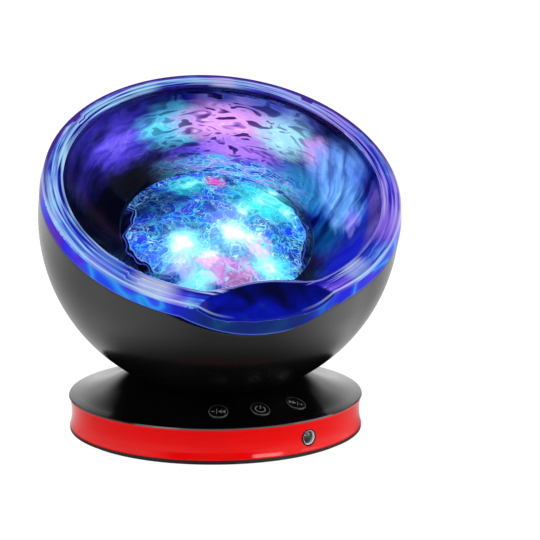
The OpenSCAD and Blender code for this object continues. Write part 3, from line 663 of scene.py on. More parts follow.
def sign(name, outlines, body, place):
    """Thin ink shapes on a key's cap, from outlines in mm seen from above."""
    shape = bmesh.new()
    for outline in outlines:
        rim, foot = [[shape.verts.new((MM * x, MM * y, MM * (key_top(x, y) + lift))) for x, y in outline]
                     for lift in (INK, -INK)]
        shape.faces.new(rim)
        for k in range(len(outline)):
            nxt = (k + 1) % len(outline)
            shape.faces.new((rim[nxt], rim[k], foot[k], foot[nxt]))
    bmesh.ops.recalc_face_normals(shape, faces=shape.faces)
    piece = stand(name, shape, place)
    piece.data.materials.append(ink)
    fit(piece, body, "bezel")

def arc(radius, width, start, end, steps=48):
    """Quads along an arc, so that a ring can be drawn as plain faces."""
    angles = [math.radians(start + (end - start) * k / steps) for k in range(steps + 1)]
    inner, outer = radius - width / 2, radius + width / 2
    return [[(inner * math.cos(a), inner * math.sin(a)), (outer * math.cos(a), outer * math.sin(a)),
             (outer * math.cos(b), outer * math.sin(b)), (inner * math.cos(b), inner * math.sin(b))]
            for a, b in zip(angles, angles[1:])]

def bar(x0, y0, x1, y1):
    """A straight stroke between two corners."""
    return [(x0, y0), (x1, y0), (x1, y1), (x0, y1)]

ink, ink_shader = finish_of("pad_printed_ink_grey", {"IOR": 1.5, "Roughness": 0.5})
ink_place = add(ink, "TexCoord").outputs["Object"]
ink_tint = marbled(ink, ink_place, 0.8, 2.0, [(0.3, "#5a5a5c"), (0.7, "#69696b")])
wire(ink, ink_tint, ink_shader.inputs["Base Color"])
rim_line = arc(3.85, 0.16, 0, 360, 72)
point = [[(-0.1, 0), (1.4, 1.15), (1.4, -1.15)], [(1.4, 0), (2.9, 1.15), (2.9, -1.15)]]
back_sign = [bar(-3.0, -0.17, -1.5, 0.17), bar(-0.85, -1.6, -0.55, 1.6), *point]
next_sign = [[(-x, y) for x, y in shape] for shape in back_sign] + [bar(2.08, -0.75, 2.42, 0.75)]
power_sign = arc(2.0, 0.5, 125, 415) + [bar(-0.25, 0.2, 0.25, 2.3)]
sign_turn = math.radians(-12.5)
for step, shapes, body, place in zip((-1, 0, 1), (back_sign, power_sign, next_sign), key_bodies, key_places):
    turn = sign_turn - panel_turn - step * key_step
    c, s = math.cos(turn), math.sin(turn)
    level = [[(x * c - y * s, x * s + y * c) for x, y in shape] for shape in shapes]
    sign(body + "_ink", rim_line + level, body, place)

# %% [markdown]
# ## Receiver lens
# The infrared receiver looks out through a small smoked dome, set back in a pale sleeve. Seen from the
# left, the sleeve's far wall shows as a bright crescent beside the dark dome. Both are turned about the
# receiver's own axis.

# %% Receiver lens
dome_r, dome_foot, dome_rise = 2.7, 60.0, 0.9
sleeve_in, sleeve_out, sleeve_low, sleeve_high = 2.72, 2.98, 57.6, 61.2

def receiver_section(angle):
    """A shallow dome on a short rod, drawn along the receiver's axis."""
    curve = (dome_r ** 2 + dome_rise ** 2) / (2 * dome_rise)
    dome = [(r, dome_foot + dome_rise - curve + math.sqrt(curve ** 2 - r * r))
            for r in [dome_r * k / 16 for k in range(17)]]
    return dome + [(dome_r, sleeve_low), (0, sleeve_low)]

def sleeve_section(angle):
    """The pale liner round the dome."""
    return corner([(sleeve_in, sleeve_low, 0), (sleeve_in, sleeve_high, 0.1), (sleeve_out, sleeve_high, 0.1),
                   (sleeve_out, sleeve_low, 0)], 4)

receiver_lens = turned("receiver_lens_dome", receiver_section, ir_place, closed=False, turns=96)
fit(receiver_lens, "base", "smoked", "ir_window")
sleeve = turned("receiver_sleeve", sleeve_section, ir_place, turns=96)
sleeve.data.materials.append(white_abs)
fit(sleeve, "base", "white_abs")

# %% [markdown]
# ## Edge-lit acrylic
# Cast acrylic has an IOR of 1.49. Lit from inside it glows where light leaves it: strongest in the wall and
# along its edges, in long streaks on the flat top. The streaks follow the ring, so their noise is read on a
# 70 mm circle, about 32 mm along it and 1 mm across it. Soft gleams lie where lamps stand close below. From
# the sides to the back the streaks turn pale, cyan on the left and lilac on the right, up to a dark violet
# brink. Real acrylic mirrors the room a little too, but the glow drowns that, so the specular level is low.

# %% Edge-lit acrylic: coordinates and noises
clear_ring, shader = finish_of("acrylic_edge_lit_polished", {
    "IOR": 1.49, "Roughness": 0.08, "Specular IOR Level": 0.04, "Base Color": colour("#04050c"),
    "Emission Strength": 0.88})
place = in_head(clear_ring)
level_place = add(clear_ring, "VectorMath", {0: place, 1: (1, 1, 0)}, operation="MULTIPLY")
radius = add(clear_ring, "VectorMath", {0: level_place}, operation="LENGTH")
heading = add(clear_ring, "VectorMath", {0: level_place}, operation="NORMALIZE")
streak_r, streak_mm, streak_thin = 70, 32, 26.0
circle = add(clear_ring, "VectorMath", {0: heading, "Scale": streak_r * MM}, operation="SCALE")
across = add(clear_ring, "Math", {0: radius, 1: streak_thin}, operation="MULTIPLY")
across = add(clear_ring, "CombineXYZ", {"Z": across})
along = add(clear_ring, "VectorMath", {0: circle, 1: across}, operation="ADD")
spots = add(clear_ring, "TexNoise", {"Vector": place, "Scale": 1 / (15 * MM), "Detail": 3.0,
                                     "Distortion": 0.6})
hue = add(clear_ring, "TexNoise", {"Vector": circle, "Scale": 1 / (24 * MM), "Detail": 2.0})
streak = add(clear_ring, "TexNoise", {"Vector": along, "Scale": 1 / (streak_mm * MM), "Detail": 2.0,
                                      "Distortion": 0.2})
patch = add(clear_ring, "TexNoise", {"Vector": place, "Scale": 1 / (18 * MM), "Detail": 1.0})
print("streaks are", streak_mm, "mm long and", round(streak_mm / streak_thin, 1), "mm wide")

# %% Edge-lit acrylic: flat top
shift = add(clear_ring, "Math", {0: spots, 1: 3 * MM, 2: radius}, operation="MULTIPLY_ADD")
inwards = add(clear_ring, "MapRange", {"Value": shift, "From Min": 67.3 * MM, "From Max": 75.5 * MM})
bands = add(clear_ring, "ValToRGB", {"Fac": inwards}, [
    (0.0, "#22227c"), (0.07, "#8a90ec"), (0.12, "#2a2a96"), (0.3, "#6464d8"), (0.42, "#9096f0"),
    (0.47, "#5050c4"), (0.6, "#c4ccff"), (0.8, "#e8f0ff"), (0.87, "#7078dc"), (0.93, "#ffffff")])
hues = add(clear_ring, "ValToRGB", {"Fac": hue}, [
    (0.34, "#4c68f4"), (0.42, "#6ca8f8"), (0.48, "#98d6ff"), (0.54, "#a0a4ff"), (0.62, "#ac80f4"),
    (0.72, "#784ce6")])
flat_glow = add(clear_ring, "Mix", {0: 1.0, 6: hues, 7: bands}, data_type="RGBA", blend_type="MULTIPLY")
shine = add(clear_ring, "ValToRGB", {"Fac": streak}, [
    (0.32, "#5a5ac8"), (0.42, "#b4b4e8"), (0.5, "#dcdcff"), (0.56, "#ffffff"), (0.62, "#a8a8e8"),
    (0.72, "#6c6cd0")])
flat_glow = add(clear_ring, "Mix", {0: 0.85, 6: flat_glow, 7: shine}, data_type="RGBA", blend_type="MULTIPLY")
glint = add(clear_ring, "MapRange", {"Value": streak, "From Min": 0.57, "From Max": 0.66, "To Max": 0.75})
flat_glow = add(clear_ring, "Mix", {0: glint, 6: flat_glow, 7: colour("#d4f2ff")}, data_type="RGBA")

side = add(clear_ring, "SeparateXYZ", {"Vector": heading})
behind = add(clear_ring, "MapRange", {"Value": side.outputs["Y"], "From Min": -0.1, "From Max": 0.3})
brink = add(clear_ring, "MapRange", {"Value": inwards, "From Min": 0.66, "From Max": 0.78})
brink = add(clear_ring, "Math", {0: behind, 1: brink}, operation="MULTIPLY")
gleams = (  # degrees from the front to the right, radius and reach in mm, colour
    (-33, 70, 13, "#eefaff"), (-52, 70, 12, "#6ca0f4"), (40, 70, 9, "#c8d4ff"), (66, 70, 16, "#9c70f0"),
    (-12, 72, 6, "#8cb4ff"), (170, 68, 8, "#f0a8ec"), (-160, 69, 10, "#a8e4ff"))
for turn_deg, at_mm, reach_mm, tint in gleams:
    turn = math.radians(turn_deg)
    spot = (at_mm * MM * math.sin(turn), -at_mm * MM * math.cos(turn), 0)
    gleam = near(clear_ring, level_place, spot, reach_mm * MM)
    gleam = add(clear_ring, "Math", {0: gleam, 1: streak}, operation="MULTIPLY")
    flat_glow = add(clear_ring, "Mix", {0: gleam, 6: flat_glow, 7: colour(tint)}, data_type="RGBA")
lit = add(clear_ring, "MapRange", {"Value": side.outputs["X"], "From Min": -1.0, "From Max": 1.0})
lit = add(clear_ring, "ValToRGB", {"Fac": lit}, [
    (0.05, "#b4ecff"), (0.4, "#b0eafa"), (0.75, "#b0c8ff"), (0.95, "#b49cfc")])
pulse = add(clear_ring, "MapRange", {"Value": streak, "From Min": 0.42, "From Max": 0.6, "To Max": 0.9})
share = add(clear_ring, "MapRange", {"Value": side.outputs["Y"], "From Min": -0.6, "From Max": -0.1})
share = add(clear_ring, "Math", {0: share, 1: pulse}, operation="MULTIPLY")
flat_glow = add(clear_ring, "Mix", {0: share, 6: flat_glow, 7: lit}, data_type="RGBA")
flat_glow = add(clear_ring, "Mix", {0: brink, 6: flat_glow, 7: colour("#4a2a96")}, data_type="RGBA")
print("flat top:", len(gleams), "gleams")

# %% Edge-lit acrylic: wall, facet and bright edges
to_back = add(clear_ring, "Math", {0: side.outputs["Y"], 1: 0.5, 2: patch}, operation="MULTIPLY_ADD")
wall_glow = add(clear_ring, "ValToRGB", {"Fac": to_back}, [
    (0.0, "#1c24e6"), (0.08, "#2450f6"), (0.13, "#2ca0fa"), (0.17, "#2c5cf6"), (0.22, "#4a2ae8"),
    (0.28, "#2434f0"), (0.38, "#2616e8"), (0.52, "#5410c8"), (0.66, "#4a0c9c"), (0.9, "#2a0870")])
aside = add(clear_ring, "Math", {0: side.outputs["X"]}, operation="ABSOLUTE")
below = add(clear_ring, "Math", {0: side.outputs["Y"], 1: 0.0}, operation="LESS_THAN")
under = add(clear_ring, "MapRange", {"Value": aside, "From Min": 0.26, "From Max": 0.48, "To Min": 0.9,
                                     "To Max": 0.0})
under = add(clear_ring, "Math", {0: under, 1: below}, operation="MULTIPLY")
wall_glow = add(clear_ring, "Mix", {0: under, 6: wall_glow, 7: colour("#10285e")}, data_type="RGBA")
facet_place = add(clear_ring, "Math", {0: radius, 1: 22.0, 2: spots}, operation="MULTIPLY_ADD")
facet_glow = add(clear_ring, "MapRange", {"Value": facet_place, "From Min": 1.75, "From Max": 2.25})
facet_glow = add(clear_ring, "ValToRGB", {"Fac": facet_glow},
                 [(0.1, "#02032e"), (0.45, "#03086a"), (0.75, "#0612ac"), (0.95, "#0a2c84")])
zone = add(clear_ring, "VertexColor", layer_name="zone")
zone = add(clear_ring, "SeparateColor", {"Color": zone})
line = add(clear_ring, "VertexColor", layer_name="line")
line = add(clear_ring, "SeparateColor", {"Color": line})
glow = add(clear_ring, "Mix", {0: zone.outputs["Red"], 6: flat_glow, 7: wall_glow}, data_type="RGBA")
glow = add(clear_ring, "Mix", {0: zone.outputs["Blue"], 6: glow, 7: facet_glow}, data_type="RGBA")
for channel, tint in (("Green", "#5a7cfa"), ("Red", "#c0e6ff"), ("Blue", "#9a9cfc")):
    glow = add(clear_ring, "Mix", {0: line.outputs[channel], 6: glow, 7: colour(tint)}, data_type="RGBA")
wire(clear_ring, glow, shader.inputs["Emission Color"])
ring.data.materials.append(clear_ring)
print("ring finish:", len(clear_ring.node_tree.nodes), "nodes")

# %% [markdown]
# ## Clear window
# The window is polished polycarbonate with an anti-glare coat, so almost all light goes through. Such a
# coat mirrors about half of one per cent, which is what an IOR of 1.12 gives; bare polycarbonate, at 1.585,
# would look hazy.

# %% Clear window
clear_window, shader = finish_of("polycarbonate_clear_anti_glare", {
    "Base Color": colour("#f6f9ff"), "IOR": 1.12, "Roughness": 0.0, "Transmission Weight": 1.0})
window.data.materials.append(clear_window)
print("window finish:", clear_window.name)

# %% [markdown]
# ## Ripple lens
# Seen from above, the lens is a net of bright lines, the caustics, over water of several blues. First the
# plain coordinates are pushed about by noise, so that nothing drawn on them stays round or straight. Then
# come patches of colour, cells that are each a little lighter or darker, bright seams between them and a
# winding line, and pools of white light with thin rays above the brightest lamps. The net fades at the
# left, and the rim is ragged and dark at both sides.

# %% Ripple lens: water
ripple_glow, shader = finish_of("acrylic_rippled_lit", {
    "IOR": 1.49, "Roughness": 0.06, "Specular IOR Level": 0.12, "Base Color": colour("#04050c"),
    "Emission Strength": 1.1})
place = add(ripple_glow, "VectorMath", {0: in_head(ripple_glow), 1: (1, 1, 0)}, operation="MULTIPLY")
flow = pushed(ripple_glow, place, 10, 13)
torn = pushed(ripple_glow, flow, 4, 6)
tide = add(ripple_glow, "TexNoise", {"Vector": flow, "Scale": 1 / (14 * MM), "Detail": 4.0})
glow = add(ripple_glow, "ValToRGB", {"Fac": tide}, [
    (0.3, "#03063a"), (0.42, "#0816a0"), (0.5, "#1034d0"), (0.58, "#1c24c4"), (0.68, "#4020b8")])
waters = (  # middle in mm, reach in mm, colour
    (22, 15, 22, "#08c8d8"), (-8, 27, 12, "#14c4dc"), (4, 3, 12, "#6458e0"), (3, 29, 6, "#ec3cc4"),
    (-7, -25, 11, "#ff90f4"), (5, -29, 11, "#ff78ec"), (19, -24, 12, "#2cd4ea"), (-27, -16, 12, "#2c44e4"),
    (34, -6, 12, "#1434dc"), (13, -15, 9, "#dc90fa"), (-17, -12, 10, "#10b4e8"), (-14, -31, 10, "#7cdcf4"),
    (-26, 18, 17, "#060c5c"), (31, 20, 13, "#48d8e4"), (-18, -23, 9, "#b4b4fa"))
for x, y, reach, tint in waters:
    share = near(ripple_glow, torn, (x * MM, y * MM, 0), reach * MM)
    glow = add(ripple_glow, "Mix", {0: share, 6: glow, 7: colour(tint)}, data_type="RGBA")
print("lens:", len(waters), "waters")

# %% Ripple lens: cells and seams
large_mm, small_mm = 7.0, 3.6
for size_mm, low, high in ((large_mm, 0.5, 1.4), (small_mm, 0.8, 1.25)):
    cell = add(ripple_glow, "TexVoronoi", {"Vector": torn, "Scale": 1 / (size_mm * MM)}, feature="F1")
    cell = add(ripple_glow, "SeparateColor", {"Color": cell.outputs["Color"]})
    cell = add(ripple_glow, "MapRange", {"Value": cell, "To Min": low, "To Max": high})
    glow = add(ripple_glow, "VectorMath", {0: glow, "Scale": cell}, operation="SCALE")
veil = add(ripple_glow, "TexNoise", {"Vector": place, "Scale": 1 / (12 * MM), "Detail": 2.0})
veil = add(ripple_glow, "MapRange", {"Value": veil, "From Min": 0.36, "From Max": 0.6, "To Min": 0.2})
dusk = near(ripple_glow, torn, (-24 * MM, 16 * MM, 0), 24 * MM)
dusk = add(ripple_glow, "MapRange", {"Value": dusk, "To Min": 1.0, "To Max": 0.25})
veil = add(ripple_glow, "Math", {0: veil, 1: dusk}, operation="MULTIPLY")
for size_mm, width, tint in ((large_mm, 0.08, "#58e4f4"), (small_mm, 0.05, "#84ecfa")):
    seam = add(ripple_glow, "TexVoronoi", {"Vector": torn, "Scale": 1 / (size_mm * MM)},
               feature="DISTANCE_TO_EDGE")
    seam = add(ripple_glow, "MapRange", {"Value": seam, "From Max": width, "To Min": 0.75, "To Max": 0.0},
               interpolation_type="SMOOTHSTEP")
    seam = add(ripple_glow, "Math", {0: seam, 1: veil}, operation="MULTIPLY")
    glow = add(ripple_glow, "Mix", {0: seam, 6: glow, 7: colour(tint)}, data_type="RGBA")
winding = add(ripple_glow, "TexNoise", {"Vector": flow, "Scale": 1 / (9 * MM), "Detail": 1.0,
                                        "Distortion": 1.0})
winding = add(ripple_glow, "Math", {0: thread(ripple_glow, winding, 0.012), 1: veil}, operation="MULTIPLY")
glow = add(ripple_glow, "Mix", {0: winding, 6: glow, 7: colour("#d8faff")}, data_type="RGBA")
print("lens cells are", large_mm, "and", small_mm, "mm wide")

# %% Ripple lens: pools of light and rays
pools = (  # middle in mm, core in mm, strength, colour of the halo
    (-17, -12, 2.6, 3.0, "#20e0f4"), (5, -9, 2.8, 3.2, "#30e4f4"), (18, -25, 2.2, 2.0, "#40e4f0"),
    (11, 5, 1.3, 1.5, "#30e0f0"), (21, 14, 1.4, 1.6, "#40e8f4"), (32, 8, 1.3, 1.3, "#40e0f0"),
    (28, 22, 1.4, 1.5, "#50e8f0"), (-8, -17, 1.4, 1.6, "#60e8f8"), (-6, 29, 1.4, 1.2, "#40e0f0"),
    (13, -8, 1.2, 1.4, "#80e8ff"))
for x, y, core, strength, tint in pools:
    pool = (x * MM, y * MM, 0)
    away = add(ripple_glow, "VectorMath", {0: torn, 1: pool}, operation="DISTANCE")
    beam = add(ripple_glow, "VectorMath", {0: place, 1: pool}, operation="SUBTRACT")
    beam = add(ripple_glow, "SeparateXYZ", {"Vector": beam})
    turn = add(ripple_glow, "Math", {0: beam.outputs["Y"], 1: beam.outputs["X"]}, operation="ARCTAN2")
    turn = add(ripple_glow, "Math", {0: turn, 1: 7.0, 2: tide}, operation="MULTIPLY_ADD")
    rays = add(ripple_glow, "Math", {0: turn}, operation="COSINE")
    rays = add(ripple_glow, "Math", {0: rays}, operation="ABSOLUTE")
    rays = add(ripple_glow, "Math", {0: rays, 1: 24.0}, operation="POWER")
    rays = add(ripple_glow, "Math", {0: rays, 1: 0.8, 2: 0.55}, operation="MULTIPLY_ADD")
    for spread, share, shade in ((2.6, rays, tint), (1.0, strength, "#f0feff")):
        soft = add(ripple_glow, "Math", {0: away, 1: -1 / (core * spread * MM)}, operation="MULTIPLY")
        soft = add(ripple_glow, "Math", {0: soft}, operation="EXPONENT")
        soft = add(ripple_glow, "Math", {0: soft, 1: share}, operation="MULTIPLY")
        glow = add(ripple_glow, "Mix", {0: soft, 6: glow, 7: colour(shade)}, data_type="RGBA",
                   blend_type="ADD", clamp_factor=False)
print("lens:", len(pools), "pools")

# %% Ripple lens: ragged rim
ragged = add(ripple_glow, "VectorMath", {0: place, 1: (0, 1.5 * MM, 0)}, operation="ADD")
ragged = pushed(ripple_glow, ragged, 14, 20, detail=1.5)
out = add(ripple_glow, "VectorMath", {0: ragged}, operation="LENGTH")
rim = add(ripple_glow, "MapRange", {"Value": out, "From Min": 36.4 * MM, "From Max": 38.0 * MM})
spot = add(ripple_glow, "SeparateXYZ", {"Vector": place})
ahead = add(ripple_glow, "MapRange", {"Value": spot.outputs["Y"], "From Min": 30 * MM, "From Max": 14 * MM})
for axis, start_mm, end_mm, least in (("Y", -32, -20, 0.0), ("X", 38, 24, 0.9)):
    fade = add(ripple_glow, "MapRange", {"Value": spot.outputs[axis], "From Min": start_mm * MM,
                                         "From Max": end_mm * MM, "To Min": least})
    ahead = add(ripple_glow, "Math", {0: ahead, 1: fade}, operation="MULTIPLY")
rim = add(ripple_glow, "Math", {0: rim, 1: ahead}, operation="MULTIPLY")
glow = add(ripple_glow, "Mix", {0: rim, 6: glow, 7: colour("#03041a")}, data_type="RGBA")
for at_mm, tint in ((37.2, "#7cb4ff"), (39.0, "#4a58ea")):
    shore = thread(ripple_glow, out, 0.5 * MM, at_mm * MM, 0.8)
    shore = add(ripple_glow, "Math", {0: shore, 1: ahead}, operation="MULTIPLY")
    glow = add(ripple_glow, "Mix", {0: shore, 6: glow, 7: colour(tint)}, data_type="RGBA")
wire(ripple_glow, glow, shader.inputs["Emission Color"])
lens.data.materials.append(ripple_glow)
print("lens finish:", len(ripple_glow.node_tree.nodes), "nodes")

# %% [markdown]
# ## Light well
# The well is the glossy black wall between lens and window. Its mirror image of the lens is painted on it
# as emission, a painted reflection of flat, drawn-out ripples: pink and pale cyan at the back, a violet haze
# on the left and slanting blue smears on the right. At its foot the painted reflection shows the lens's edge,
# in cells and seams like those of the lens. The wall is unrolled into a strip: its width is the turn round
# the axis, taken at 50 mm, and its height the radius.

# %% Light well: strip
well_abs, shader = finish_of("moulded_abs_black_painted_reflection", {
    "IOR": 1.53, "Roughness": 0.12, "Specular IOR Level": 0.02, "Base Color": colour("#020204"),
    "Emission Strength": 1.18})
place = in_head(well_abs)
axes = add(well_abs, "SeparateXYZ", {"Vector": place})
level_place = add(well_abs, "VectorMath", {0: place, 1: (1, 1, 0)}, operation="MULTIPLY")
radius = add(well_abs, "VectorMath", {0: level_place}, operation="LENGTH")
turn = add(well_abs, "Math", {0: axes.outputs["X"], 1: axes.outputs["Y"]}, operation="ARCTAN2")
strip_r, ripple_flat = 50, 4.2
strip_x = add(well_abs, "Math", {0: turn, 1: strip_r * MM}, operation="MULTIPLY")
sunk = add(well_abs, "Math", {0: axes.outputs["Z"], 1: 9 * MM}, operation="ADD")
sunk = add(well_abs, "Math", {0: sunk, 1: 0.0}, operation="MINIMUM")
strip_y = add(well_abs, "Math", {0: radius, 1: sunk}, operation="ADD")
strip = add(well_abs, "CombineXYZ", {"X": strip_x, "Y": strip_y})
tall = add(well_abs, "VectorMath", {0: strip, 1: (1, ripple_flat, 1)}, operation="MULTIPLY")
bent = pushed(well_abs, tall, 11, 18)
torn = add(well_abs, "VectorMath", {0: bent, 1: (1, 1 / ripple_flat, 1)}, operation="MULTIPLY")
print("a ripple is", ripple_flat, "times as wide as high")

# %% Light well: colours of the painted reflection
# Painted reflection of the lens's light: a dark base, then hazes of its colours laid over the strip.
glow = marbled(well_abs, strip, 20, 2.0, [(0.35, "#030308"), (0.6, "#06061a")])
hazes = (  # turn in radians, radius in mm, half width and half height in mm, colour
    (-0.75, 60, 44, 13, "#343090"), (-0.62, 57, 27, 10, "#4c3cd0"), (-0.72, 58, 18, 6, "#7460f2"),
    (1.55, 54, 44, 19, "#1a3cc0"), (1.75, 46, 18, 9, "#0c4c84"), (2.2, 58, 22, 12, "#1414b4"),
    (0.25, 62, 50, 8, "#141c78"), (0.5, 63, 26, 5, "#5464bc"), (1.85, 64, 28, 4, "#5c48a0"),
    (0.3, 47, 44, 9, "#6454e6"), (-0.24, 56.5, 17, 8, "#64e4f8"), (0.24, 57, 28, 8, "#f4aefc"),
    (0.68, 57, 16, 8, "#b0f4ff"), (0.35, 50, 24, 6, "#bc84f4"), (1.1, 47, 24, 8, "#3498cc"),
    (0.98, 58, 9, 6, "#f0a4ee"), (1.22, 57, 21, 10, "#7cb4ff"), (1.5, 54, 19, 9, "#88ccff"),
    (1.75, 55, 8, 4, "#9c94f8"))
for at, up_mm, wide_mm, high_mm, tint in hazes:
    size = (1 / (wide_mm * MM), 1 / (high_mm * MM), 1)
    scaled = add(well_abs, "VectorMath", {0: torn, 1: size}, operation="MULTIPLY")
    share = near(well_abs, scaled, (at * strip_r / wide_mm, up_mm / high_mm, 0), 1.0)
    glow = add(well_abs, "Mix", {0: share, 6: glow, 7: colour(tint)}, data_type="RGBA")
print("well:", len(hazes), "hazes")

# %% Light well: painted reflection of ripples at the back and smears on the right
back = thread(well_abs, turn, 1.3, 0.22)
flat_noise = add(well_abs, "TexNoise", {"Vector": tall, "Scale": 1 / (10 * MM), "Detail": 1.5,
                                        "Distortion": 0.9})
ripples = add(well_abs, "ValToRGB", {"Fac": flat_noise}, [
    (0.35, "#3c3468"), (0.39, "#7068ac"), (0.41, "#ffffff"), (0.5, "#ece8fc"), (0.56, "#ffffff"),
    (0.61, "#b8b2e0"), (0.67, "#564c84")])
rippled = add(well_abs, "Mix", {0: back, 6: glow, 7: ripples}, data_type="RGBA", blend_type="MULTIPLY")
# Painted highlight: a pale line along the crests of the reflected ripples, between 49 and 62 mm from the
# axis.
high = add(well_abs, "MapRange", {"Value": radius, "From Min": 49 * MM, "From Max": 54 * MM})
crest = thread(well_abs, flat_noise, 0.012, 0.56, 0.5)
crest = add(well_abs, "Math", {0: crest, 1: high}, operation="MULTIPLY")
crest = add(well_abs, "Math", {0: crest, 1: back}, operation="MULTIPLY")
brim = add(well_abs, "MapRange", {"Value": radius, "From Min": 62 * MM, "From Max": 58 * MM})
crest = add(well_abs, "Math", {0: crest, 1: brim}, operation="MULTIPLY")
glow = add(well_abs, "Mix", {0: crest, 6: rippled, 7: colour("#f0e0ff")}, data_type="RGBA")
slant = add(well_abs, "Math", {0: radius, 1: 1.3, 2: strip_x}, operation="MULTIPLY_ADD")
slanted = add(well_abs, "CombineXYZ", {"X": slant, "Y": strip_x})
slanted = pushed(well_abs, slanted, 12, 12)
smear = add(well_abs, "VectorMath", {0: slanted, 1: (2.6, 0.8, 1)}, operation="MULTIPLY")
smear = marbled(well_abs, smear, 14, 4.0, [(0.36, "#4c5890"), (0.5, "#bcc8ec"), (0.62, "#ffffff")])
right = thread(well_abs, turn, 1.0, 1.5)
glow = add(well_abs, "Mix", {0: right, 6: glow, 7: smear}, data_type="RGBA", blend_type="MULTIPLY")
left = add(well_abs, "VectorMath", {0: bent, 1: (0.7, 0.9, 1)}, operation="MULTIPLY")
left = marbled(well_abs, left, 16, 4.0, [(0.34, "#3c3c70"), (0.5, "#b4b4e0"), (0.62, "#ffffff")])
aside = thread(well_abs, turn, 1.1, -0.95)
glow = add(well_abs, "Mix", {0: aside, 6: glow, 7: left}, data_type="RGBA", blend_type="MULTIPLY")
print("well:", len(well_abs.node_tree.nodes), "nodes so far")

# %% Light well: foot of the wall, with the painted reflection of the lens's edge
foot = add(well_abs, "SeparateXYZ", {"Vector": torn}).outputs["Y"]
foot = add(well_abs, "MapRange", {"Value": foot, "From Min": 44 * MM, "From Max": 48 * MM, "To Min": 1.0,
                                  "To Max": 0.0}, interpolation_type="SMOOTHSTEP")
foot = add(well_abs, "Math", {0: foot, 1: thread(well_abs, turn, 1.05, 0.4)}, operation="MULTIPLY")
shoal = marbled(well_abs, bent, 14, 3.0, [
    (0.34, "#1a2490"), (0.44, "#3854dc"), (0.5, "#2cb4e0"), (0.56, "#a070ec"), (0.64, "#44d0ec")])
glow = add(well_abs, "Mix", {0: foot, 6: glow, 7: shoal}, data_type="RGBA")
seam = add(well_abs, "TexVoronoi", {"Vector": bent, "Scale": 1 / (6 * MM)}, feature="DISTANCE_TO_EDGE")
seam = add(well_abs, "MapRange", {"Value": seam, "From Max": 0.09, "To Min": 0.8, "To Max": 0.0})
seam = add(well_abs, "Math", {0: seam, 1: foot}, operation="MULTIPLY")
glow = add(well_abs, "Mix", {0: seam, 6: glow, 7: colour("#9cecff")}, data_type="RGBA")
wire(well_abs, glow, shader.inputs["Emission Color"])
dress(well_abs, "light_well")
print("well finish:", len(well_abs.node_tree.nodes), "nodes")

# %% [markdown]
# ## Finishes of the inner and small pieces
# Screws, spring and metal cans are zinc-plated steel, which gives a soft, faintly mottled shine. Rubber and
# pressed paper have a dull grain, acetal a waxy sheen, the lacquered boards a smooth gloss, and the ferrite
# magnet a dark, sintered face. Each recipe is short: a colour range, a grain size from the real surface and
# a roughness.

# %% Finishes of the inner and small pieces
def plain_finish(name, low, high, size_mm, roughness, ior=1.5, metallic=0.0, bump=0.1):
    """A two-tone surface with a grain of one real size."""
    finish, shader = finish_of(name, {"IOR": ior, "Metallic": metallic, "Roughness": roughness})
    place = add(finish, "TexCoord").outputs["Object"]
    grain = add(finish, "TexNoise", {"Vector": place, "Scale": 1 / (size_mm * MM), "Detail": 4.0})
    tint = add(finish, "ValToRGB", {"Fac": grain}, [(0.35, low), (0.65, high)])
    relief = add(finish, "Bump", {"Height": grain, "Strength": bump, "Distance": 0.1 * MM})
    wire(finish, tint, shader.inputs["Base Color"])
    wire(finish, relief, shader.inputs["Normal"])
    return finish

recipes = (  # finish, dark and pale shade, grain in mm, roughness, other settings, solids
    ("steel_zinc_plated", "#a9abad", "#c4c6c8", 0.8, 0.32, {"metallic": 1.0},
     ("base_screws", "board_screws", "deck_screws", "led_board_screws", "motor_screws", "saddle_spring",
      "saddle_nut", "shaft_clip", "output_shaft", "motor", "power_socket", "speaker_frame")),
    ("rubber_moulded_matt", "#1b1b1d", "#252527", 0.5, 0.75, {"bump": 0.3}, ("foot_ring", "friction_ring")),
    ("acetal_moulded_natural", "#e6e2d6", "#f0ede4", 2.0, 0.35, {},
     ("tilt_saddle", "output_gear", "motor_pinion")),
    ("glass_fibre_green_lacquer", "#14522a", "#1c6a38", 3.0, 0.3, {}, ("main_board",)),
    ("glass_fibre_white_lacquer", "#e6e6e0", "#f3f3ef", 3.0, 0.35, {}, ("led_board",)),
    ("epoxy_moulded_black", "#161618", "#222224", 0.4, 0.55, {}, ("control_chip", "ir_receiver")),
    ("paper_pressed_black", "#1d1d1f", "#2a2a2c", 0.6, 0.85, {"bump": 0.5}, ("speaker_cone",)),
    ("ferrite_sintered", "#3a3b3d", "#505255", 0.5, 0.6, {"bump": 0.3}, ("speaker_magnet",)),
    ("abs_black_gloss_bezel", "#0a0a0b", "#131315", 3.0, 0.15, {}, ("ir_bezel",)),
    ("epoxy_cast_milky", "#e8f2ff", "#ffffff", 2.0, 0.2, {}, ("leds",)))
for name, low, high, size_mm, roughness, more, solids in recipes:
    dress(plain_finish(name, low, high, size_mm, roughness, **more), *solids)
dress(dark_abs, "bottom_plate", "tilt_cradle", "tact_switches")
dress(white_abs, "lamp_deck")
smoked = plain_finish("acrylic_smoked_polished", "#20282a", "#2c3434", 6.0, 0.08, ior=1.49, bump=0.0)
receiver_lens.data.materials.append(smoked)
print("solids dressed:", sum(1 for n in nodes.values() if n.data.materials))
